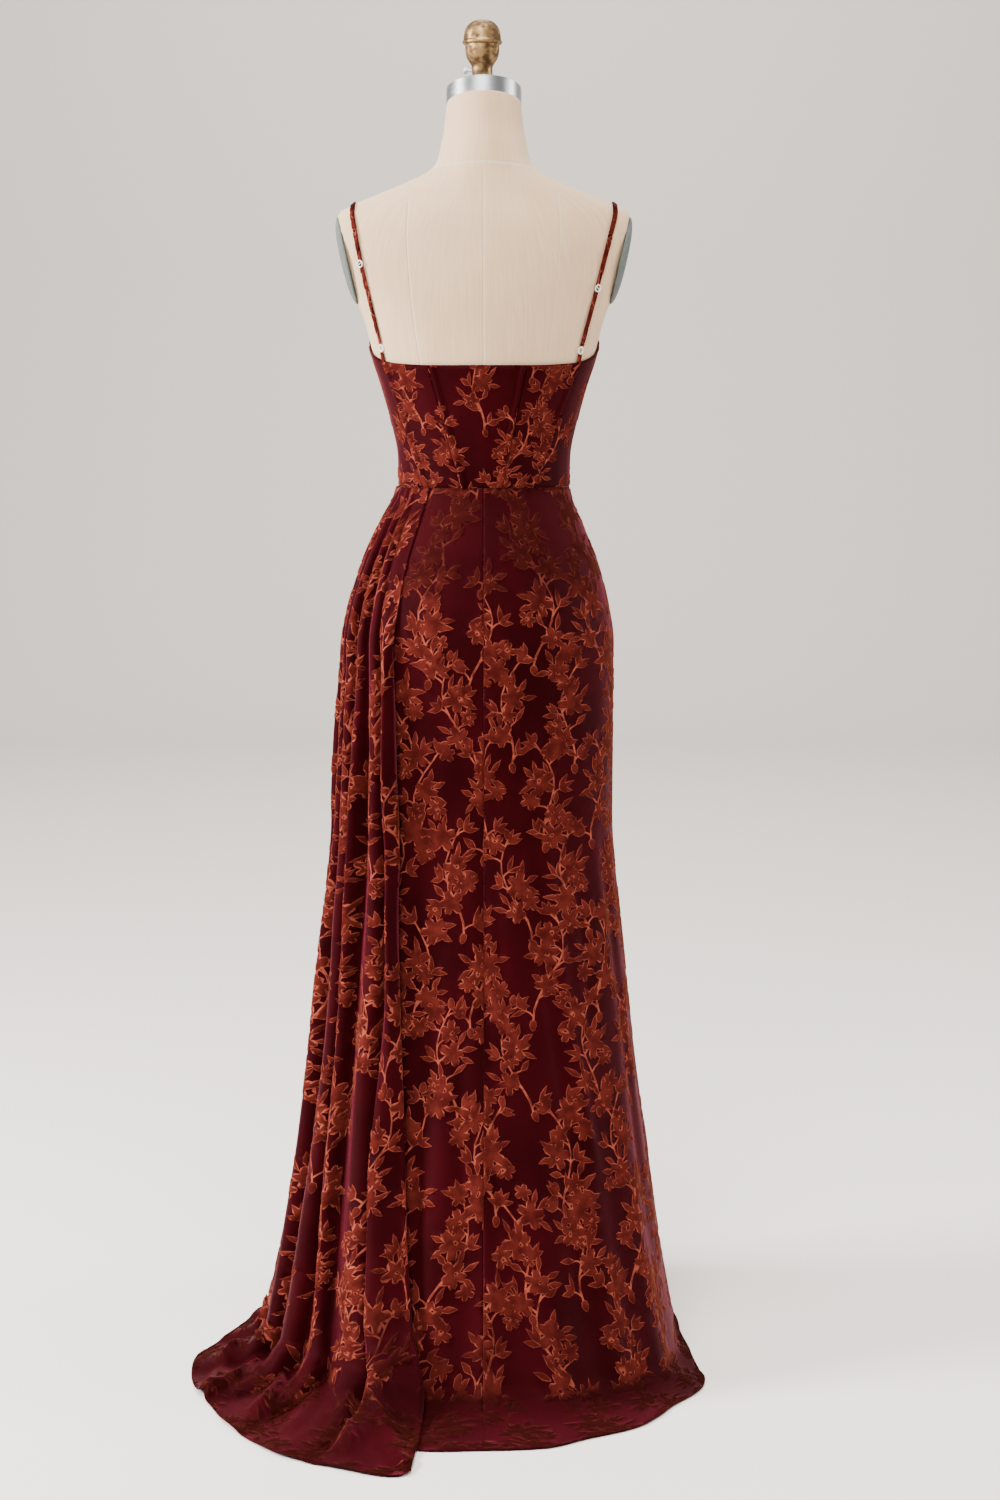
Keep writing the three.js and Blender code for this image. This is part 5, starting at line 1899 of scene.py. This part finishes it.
@dataclass
class Torso:
    """The linen-covered body of the form.

    Attributes:
        around: Points round each ring.
        step: Height between rings.
        side_seam: Rows of height and distance from the centre of the long back seams.
        neck_seam: Height of the seam round the foot of the neck.
        side_seam_top: Height up to which the long back seams run.
        shoulder_seam_foot: Height from which the shoulder seams run.
        flat_scale: Radius at which the angle is laid flat for the weave.
    """

    around: int = 168
    step: float = 6.0
    side_seam: tuple[Pair, ...] = ((1120, 42), (1256, 76), (1370, 92), (1440, 96), (1490, 93))
    neck_seam: float = 1517.5
    side_seam_top: float = 1492.0
    shoulder_seam_foot: float = 1440.0
    flat_scale: float = 150.0

    def rings(self) -> tuple[Array, Array]:
        """Returns the points of all rings, and the angle of each.

        Returns:
            The points and their angles.
        """
        levels = np.arange(FORM_BOTTOM, NECK_TOP, self.step)
        levels = np.append(levels, NECK_TOP)
        angles = np.arange(self.around) * 360.0 / self.around
        angle, z = np.meshgrid(angles, levels)
        points = figure_point(angle, z, 0.0)
        flat = ARM_FLAT_HALF + ARM_FLAT_SLOPE * (z - ARM_FLAT_Z)
        held = (z >= ARM_FLAT_Z) & (z <= SHOULDER_LEVEL + 6)
        limit = np.where(held, flat, 1e6)
        x = points[..., 0]
        points[..., 0] = np.clip(x, -limit, limit)
        lean = smooth_step(1574, NECK_TOP, z)
        points[..., 2] -= lean * (points[..., 1] - NECK_TOP_CENTRE_Y) * math.tan(NECK_TILT)
        return points, angle

    def seam_distances(self, points: Array, angle: Array) -> dict[str, Array]:
        """Returns the signed distance of each point from each seam.

        Args:
            points: Points of the rings.
            angle: Their angles.

        Returns:
            Distances by name of the seam.
        """
        x, y, z = points[..., 0], points[..., 1], points[..., 2]
        far = np.full_like(x, 50.0)
        back = np.abs(turn_between(angle, 0)) < 90
        line = SmoothCurve([row[0] for row in self.side_seam], [row[1] for row in self.side_seam])(z)
        below, above = z < self.side_seam_top, (z > self.shoulder_seam_foot) & ~(z > self.neck_seam)
        return {
            "seam_centre": np.where(z < self.neck_seam, x, far),
            "seam_left": np.where(below, x + line, far),
            "seam_right": np.where(below, x - line, far),
            "seam_neck": 0.5 * (z - self.neck_seam + 0.16 * (y + 6)),
            "seam_shoulder": np.where(above, np.where(back, -1, 1) * np.abs(y + 17), far),
        }

    def build(self) -> Piece:
        """Builds the body with its weave map and the distances of its seams.

        Returns:
            The body.
        """
        points, angle = self.rings()
        levels, around = angle.shape
        faces = []
        for level in range(levels - 1):
            for index in range(around):
                after = (index + 1) % around
                low, high = level * around, (level + 1) * around
                faces.append([low + index, low + after, high + after, high + index])
        faces.append(list(range(around))[::-1])
        faces.append([(levels - 1) * around + index for index in range(around)])
        piece = mesh_piece("form_cover", points.reshape(-1, 3) * MM, faces)
        for name, distance in self.seam_distances(points, angle).items():
            add_values(piece.data, name, distance * MM)
        u = np.radians(turn_between(angle, 0)) * self.flat_scale
        add_cloth_map(piece.data, np.stack([u, points[..., 2]], axis=-1).reshape(-1, 2) * MM)
        piece.data.update()
        return piece


@dataclass
class FormFittings:
    """The neck ring, the finial with its thumb screw and the arm plates."""

    ring_radius: float = 48.0
    ring_height: float = 21.5
    finial_x: float = -2.0
    finial_y: float = 8.0
    screw_z: float = 1646.5
    plate_z: float = 1407.0
    plate_y: float = -13.0
    finial_profile: tuple[Pair, ...] = (
        (0, 12.2), (1, 13), (25, 13), (27.5, 13.6), (30, 15), (33, 17.2), (36.5, 19.2), (40, 20.5), (44, 21.3),
        (48, 21.7), (52, 21.7), (54, 21.4), (54.6, 23.8), (55.6, 25), (57, 25.5), (58.4, 25.2), (59.4, 24.2),
        (60.4, 23.8), (65, 23.5), (70, 22.6), (74, 21.2), (77.5, 19), (80.5, 16.2), (82.8, 12.6), (84.4, 8.2),
        (85, 3.6))
    plate_layers: tuple[Pair, ...] = (
        (0, 0.985), (0.6, 1.0), (1.9, 1.0), (2.5, 0.985), (3.6, 0.955), (5.4, 0.88), (7.2, 0.74), (8.6, 0.55),
        (9.3, 0.32), (9.5, 0.12))

    def neck_ring(self) -> Piece:
        """Builds the brushed ring on the neck, with a shallow lip on its top.

        Returns:
            The ring.
        """
        r, h = self.ring_radius, self.ring_height
        piece = turned("neck_ring", ((0, r - 0.6), (0.6, r), (h - 2.6, r), (h - 2.4, r - 0.35), (h - 1.9, r - 0.35),
                                     (h - 1.7, r), (h - 0.6, r), (h, r - 0.7), (h, r - 4), (h - 0.5, r - 4.6),
                                     (h - 0.5, r - 40)), 128, 0.0)
        make_active(piece)
        bpy.ops.object.shade_smooth_by_angle(angle=math.radians(35))
        lift = 0.3 / math.cos(NECK_TILT)
        place(piece, Matrix.Translation((0, NECK_TOP_CENTRE_Y * MM, (NECK_TOP + lift) * MM))
              @ Matrix.Rotation(-NECK_TILT, 4, "X"))
        return piece

    def finial(self) -> Piece:
        """Builds the turned finial, with its foot cut to the tilt of the ring.

        Returns:
            The finial.
        """
        along = self.ring_height + 0.3
        middle_y = NECK_TOP_CENTRE_Y + along * math.sin(NECK_TILT)
        foot = (NECK_TOP + along * math.cos(NECK_TILT) - (self.finial_y - middle_y) * math.tan(NECK_TILT)
                + 0.3 / math.cos(NECK_TILT))
        piece = turned("finial_turned", self.finial_profile, 72, 0.5)
        for vertex in piece.data.vertices:
            if vertex.co.z < 3 * MM:
                vertex.co.z -= vertex.co.y * math.tan(NECK_TILT)
        place(piece, Matrix.Translation((self.finial_x * MM, self.finial_y * MM, foot * MM)))
        return piece

    def screw(self) -> Piece:
        """Builds the thumb screw with a grooved head.

        Returns:
            The screw.
        """
        piece = turned("thumb_screw", ((0, 2.2), (0.3, 2.4), (6, 2.4), (6.05, 4.1), (6.4, 4.5), (9.6, 4.5),
                                       (10, 4.1)), 36, 0.0)
        for vertex in piece.data.vertices:
            radius = math.hypot(vertex.co.x, vertex.co.y)
            if radius > 4.2 * MM:
                turn = math.atan2(vertex.co.y, vertex.co.x)
                scale = 1 - 0.05 * (1 + math.cos(18 * turn)) / 2
                vertex.co.x *= scale
                vertex.co.y *= scale
        make_active(piece)
        bpy.ops.object.shade_smooth_by_angle(angle=math.radians(30))
        place(piece, Matrix.Translation(((self.finial_x - 13.3) * MM, self.finial_y * MM, self.screw_z * MM))
              @ Matrix.Rotation(-math.pi / 2, 4, "Y"))
        return piece

    def arm_plate(self, side: str, sign: int) -> Piece:
        """Builds one oval arm plate, tilted with the form's flat side.

        Args:
            side: Its side, for the name.
            sign: 1 on the right, -1 on the left.

        Returns:
            The plate.
        """
        piece = turned(f"arm_plate_{side}", tuple((z, 1000 * scale) for z, scale in self.plate_layers), 72, 0.0)
        make_active(piece)
        bpy.ops.object.shade_smooth_by_angle(angle=math.radians(35))
        tilt = math.atan(ARM_FLAT_SLOPE)
        half = ARM_FLAT_HALF + ARM_FLAT_SLOPE * (self.plate_z - ARM_FLAT_Z)
        across = Vector((math.cos(tilt), 0, -math.sin(tilt)))
        upward = Vector((math.sin(tilt), 0, math.cos(tilt)))
        seat = Vector((half, self.plate_y, self.plate_z)) + across * 0.3
        for vertex in piece.data.vertices:
            along, up, out = vertex.co.y, vertex.co.x, vertex.co.z
            spot = seat + across * (out / MM) + upward * (up * 56.0)
            spot.y += along * 37.0
            vertex.co = Vector((spot.x * sign, spot.y, spot.z)) * MM
        recalculate(piece)
        return piece


def recalculate(piece: Piece) -> None:
    """Turns the faces of a closed piece outwards.

    Args:
        piece: The piece.
    """
    mesh = bmesh.new()
    mesh.from_mesh(piece.data)
    bmesh.ops.recalc_face_normals(mesh, faces=mesh.faces)
    mesh.to_mesh(piece.data)
    mesh.free()


def strap_ring(name: str, spot: Array, rise: float, barred: bool) -> Piece:
    """Builds a clear ring that lies flat on a strap.

    Args:
        name: Name of the piece.
        spot: Point on the form under its middle.
        rise: Height of its middle off the form.
        barred: Whether a bar crosses it, as on a slider.

    Returns:
        The ring in place.
    """
    deselect()
    bpy.ops.mesh.primitive_torus_add(major_segments=40, minor_segments=12, major_radius=RING_RADIUS * MM,
                                     minor_radius=RING_WIRE * MM)
    piece = bpy.context.object
    if barred:
        bpy.ops.mesh.primitive_cylinder_add(vertices=12, radius=0.55 * MM, depth=2 * (RING_RADIUS - 0.3) * MM,
                                            rotation=(0, math.pi / 2, 0))
        bar = bpy.context.object
        deselect()
        bar.select_set(True)
        piece.select_set(True)
        bpy.context.view_layer.objects.active = piece
        bpy.ops.object.join()
    piece.name = piece.data.name = name
    piece.data.polygons.foreach_set("use_smooth", np.ones(len(piece.data.polygons), bool))
    normal = Vector(figure_normal(spot[None])[0])
    turn = Vector((0, 0, 1)).rotation_difference(normal).to_matrix().to_4x4()
    centre = (Vector(spot) + normal * rise) * MM
    place(piece, Matrix.Translation(centre) @ turn)
    return piece


# The dress


class Held(Enum):
    """How a piece of cloth is held."""

    HUNG = "hung"
    STRETCHED = "stretched"
    GATHERED = "gathered"


@dataclass(frozen=True)
class Cut:
    """The flat cut of what shows of a piece of cloth, in metres."""

    width: float
    length: float
    area: float
    held: Held = Held.HUNG


@dataclass
class Dress:
    """The dress: its boned bodice, its skirt, the pleated side drape and the straps."""

    satin: Material
    velvet: Material

    def add(self, cloth: ClothPiece, node: str, cut: Cut | None = None, rests_on: Sequence[str] = ()) -> None:
        """Builds a piece of cloth in place of a node.

        Args:
            cloth: The cloth to build.
            node: Node of the solids that it replaces.
            cut: Its flat cut, where one is given; not used.
            rests_on: Names of the pieces that hold it; not used.
        """
        piece = cloth.build()
        stand_in(piece, node, [self.satin, self.velvet])

    def skirt(self) -> None:
        """Builds the three panels of the skirt."""
        hangs_from = ("form_cover", "back_centre_panel", "side_left_panel", "side_right_panel")
        self.add(ClothPiece("back_right_skirt", SkirtSurface(0, 90), 11, grid=(9, 12), lean=SEAM_LEAN),
                 "skirt_back_right", Cut(0.530, 1.260, 0.351), hangs_from)
        self.add(ClothPiece("back_left_skirt", SkirtSurface(-90, 0), 12, grid=(9, 12), lean=SEAM_LEAN),
                 "skirt_back_left", Cut(0.497, 1.265, 0.337), hangs_from)
        self.add(ClothPiece("front_skirt", SkirtSurface(90, 270), 13, grid=(11, 14), lean=SEAM_LEAN, fine=False),
                 "skirt_front", Cut(0.937, 1.149, 0.648), hangs_from)

    def drape(self) -> None:
        """Builds the pleated drape with its train."""
        pleats = len(PLEAT_TROUGHS) - 1
        columns = np.linspace(0, 1, pleats * 11 + 1)
        self.add(ClothPiece("pleated_side_drape", DrapeSurface(0, pleats), 14, grid=(9, 13), columns=columns,
                            pitch=(102.0, 122.0), fine=False),
                 "side_drape", Cut(1.011, 1.336, 0.786, Held.GATHERED), ("back_left_skirt", "front_skirt"))

    def bodice(self) -> None:
        """Builds the eight panels of the bodice."""
        left_outer, left_inner = back_seam("left_outer"), back_seam("left_inner")
        right_inner, right_outer = back_seam("right_inner"), back_seam("right_outer")
        panels = (
            ("back_centre", left_inner, right_inner, True, True, (0.129, 0.160, 0.0144)),
            ("back_left", left_outer, left_inner, True, False, (0.075, 0.172, 0.0102)),
            ("back_right", right_inner, right_outer, False, True, (0.081, 0.172, 0.0099)),
            ("side_right", right_outer, front_seam("right_side"), False, True, (0.130, 0.205, 0.0206)),
            ("side_left", front_seam("left_side", 360), left_outer, True, False, (0.115, 0.205, 0.0185)),
            ("front_right", front_seam("right_side"), front_seam("right_princess"), False, True,
             (0.120, 0.248, 0.0240)),
            ("front_left", front_seam("left_princess"), front_seam("left_side"), True, False,
             (0.120, 0.248, 0.0240)),
            ("front_centre", front_seam("right_princess"), front_seam("left_princess"), False, False,
             (0.162, 0.242, 0.0201)),
        )
        for index, (name, left, right, bone_left, bone_right, cut) in enumerate(panels):
            surface = BodiceSurface(left, right, bone_left, bone_right)
            cloth = ClothPiece(name + "_panel", surface, 40 + index, grid=(2.2, 6.0), pitch=(92.0, 80.0), size=0.8,
                               lean=SEAM_LEAN)
            self.add(cloth, "bodice_" + name, Cut(*cut, Held.STRETCHED), ("form_cover",))

    def straps(self) -> None:
        """Builds the two straps with their tabs."""
        for index, (side, line) in enumerate(STRAPS.items()):
            self.add(ClothPiece(f"{side}_strap", RibbonSurface(line.path()), 60 + index, grid=(1.1, 4.0),
                                pitch=(40.0, 90.0)), f"strap_{side}")
            self.add(ClothPiece(f"{side}_strap_tab", RibbonSurface(line.tab(), 0), 70 + index, grid=(1.1, 3.0),
                                pitch=(40.0, 30.0)), f"strap_tab_{side}")


def build_rings(finish: Material) -> None:
    """Builds the clear rings and sliders of both straps.

    Args:
        finish: Their material.
    """
    for side, line in STRAPS.items():
        parts = (
            (f"ring_{side}", f"strap_ring_{side}", line.ring, STRAP_GAP + 0.8, False),
            (f"slider_{side}", f"strap_slider_{side}", line.slider, STRAP_GAP + 1.6 + 0.3 + RING_WIRE, True),
        )
        for name, node, (_, z), rise, barred in parts:
            spot = line.behind(np.array([float(z)]))[0]
            stand_in(strap_ring(name, spot, rise, barred), node, [finish])


def build_form() -> None:
    """Builds the form, its fittings and its stand."""
    fittings = FormFittings()
    silver, felt = BRUSHED_SILVER.material(), GREY_FELT.material()
    stand_in(Torso().build(), "form_torso", [LinenFinish().material()])
    stand_in(fittings.neck_ring(), "form_neck_ring", [silver])
    stand_in(fittings.finial(), "form_finial", [AGED_BRASS.material()])
    stand_in(fittings.screw(), "form_finial_screw", [silver])
    stand_in(fittings.arm_plate("left", -1), "form_arm_plate_left", [felt])
    stand_in(fittings.arm_plate("right", 1), "form_arm_plate_right", [felt])
    dress(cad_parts["form_pole"], [STEEL.material()])
    dress(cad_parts["form_base"], [BLACK_IRON.material()])


# The room


@dataclass(frozen=True)
class Studio:
    """The pale floor that sweeps up behind, the soft lights and the camera."""

    tone: Colour = (0.75, 0.690, 0.632, 1)
    air: Colour = (1, 0.985, 0.965, 1)
    air_strength: float = 0.24
    camera_place: tuple[float, float, float] = (0.0205, -3.5, 1.23)
    camera_pitch: float = 7.4
    lens: float = 64.6

    def build(self) -> None:
        """Builds the room."""
        self.sweep()
        self.light("left_window", (-3.3, -0.6, 2.1), (0, 0, 0.8), 1.2, 440)
        self.light("right_window", (3.2, 0.1, 2.0), (0, 0, 0.9), 1.6, 120)
        self.light("overhead", (-0.2, -1.3, 4.2), (0, -0.9, 0), 2.0, 230)
        self.light("low_front", (-0.6, -2.8, 2.7), (0, -2.0, 0), 1.2, 120)
        self.light("backdrop_wash", (0, 3.2, 5.4), (0, 6.6, 0.6), 4.0, 430)
        world = bpy.data.worlds.new("studio_air")
        world.use_nodes = True
        Graph(world.node_tree).give(world.node_tree.nodes["Background"],
                                    {"Color": self.air, "Strength": self.air_strength})
        bpy.context.scene.world = world
        data = bpy.data.cameras.new("camera")
        data.lens = self.lens
        data.sensor_width = 36
        data.clip_end = 60
        camera = bpy.data.objects.new("camera", data)
        camera.location = self.camera_place
        camera.rotation_euler = (math.radians(90 - self.camera_pitch), 0, 0)
        bpy.context.scene.collection.objects.link(camera)
        bpy.context.scene.camera = camera

    def sweep(self) -> None:
        """Builds the floor and the backdrop as one smooth sweep."""
        rows = [(-12.0, 0.0), (6.2, 0.0)]
        rows += [(6.2 + 1.8 * math.sin(a), 1.8 - 1.8 * math.cos(a)) for a in np.linspace(0.08, math.pi / 2, 20)]
        rows.append((8.0, 9.0))
        points = np.array([(x, y, z) for y, z in rows for x in (-12.0, 12.0)])
        floor = mesh_piece("studio_sweep", points, [[2 * i, 2 * i + 1, 2 * i + 3, 2 * i + 2]
                                                    for i in range(len(rows) - 1)])
        material, graph, shader = start_material("studio_paper")
        graph.give(shader, {"Base Color": self.tone, "Roughness": 0.9, "Specular IOR Level": 0.2})
        dress(floor, [material])

    def light(self, name: str, spot: tuple[float, float, float], target: tuple[float, float, float], size: float,
              power: float) -> None:
        """Adds one soft light that faces a target.

        Args:
            name: Name of the light.
            spot: Its place.
            target: Where it faces.
            size: Its side, in metres.
            power: Its power, in watts.
        """
        data = bpy.data.lights.new(name, "AREA")
        data.size = size
        data.energy = power
        lamp = bpy.data.objects.new(name, data)
        lamp.location = spot
        lamp.rotation_euler = (Vector(target) - Vector(spot)).to_track_quat("-Z", "Y").to_euler()
        bpy.context.scene.collection.objects.link(lamp)


def main() -> None:
    """Builds the room, the form and the dress in order."""
    logging.basicConfig(level=logging.INFO, format="%(name)s: %(message)s")
    Studio().build()
    build_form()
    dress_pieces = Dress(SatinFinish().material(), VelvetFinish().material())
    dress_pieces.bodice()
    dress_pieces.skirt()
    dress_pieces.drape()
    dress_pieces.straps()
    build_rings(ClearFinish().material())


if __name__ == "__main__":
    main()
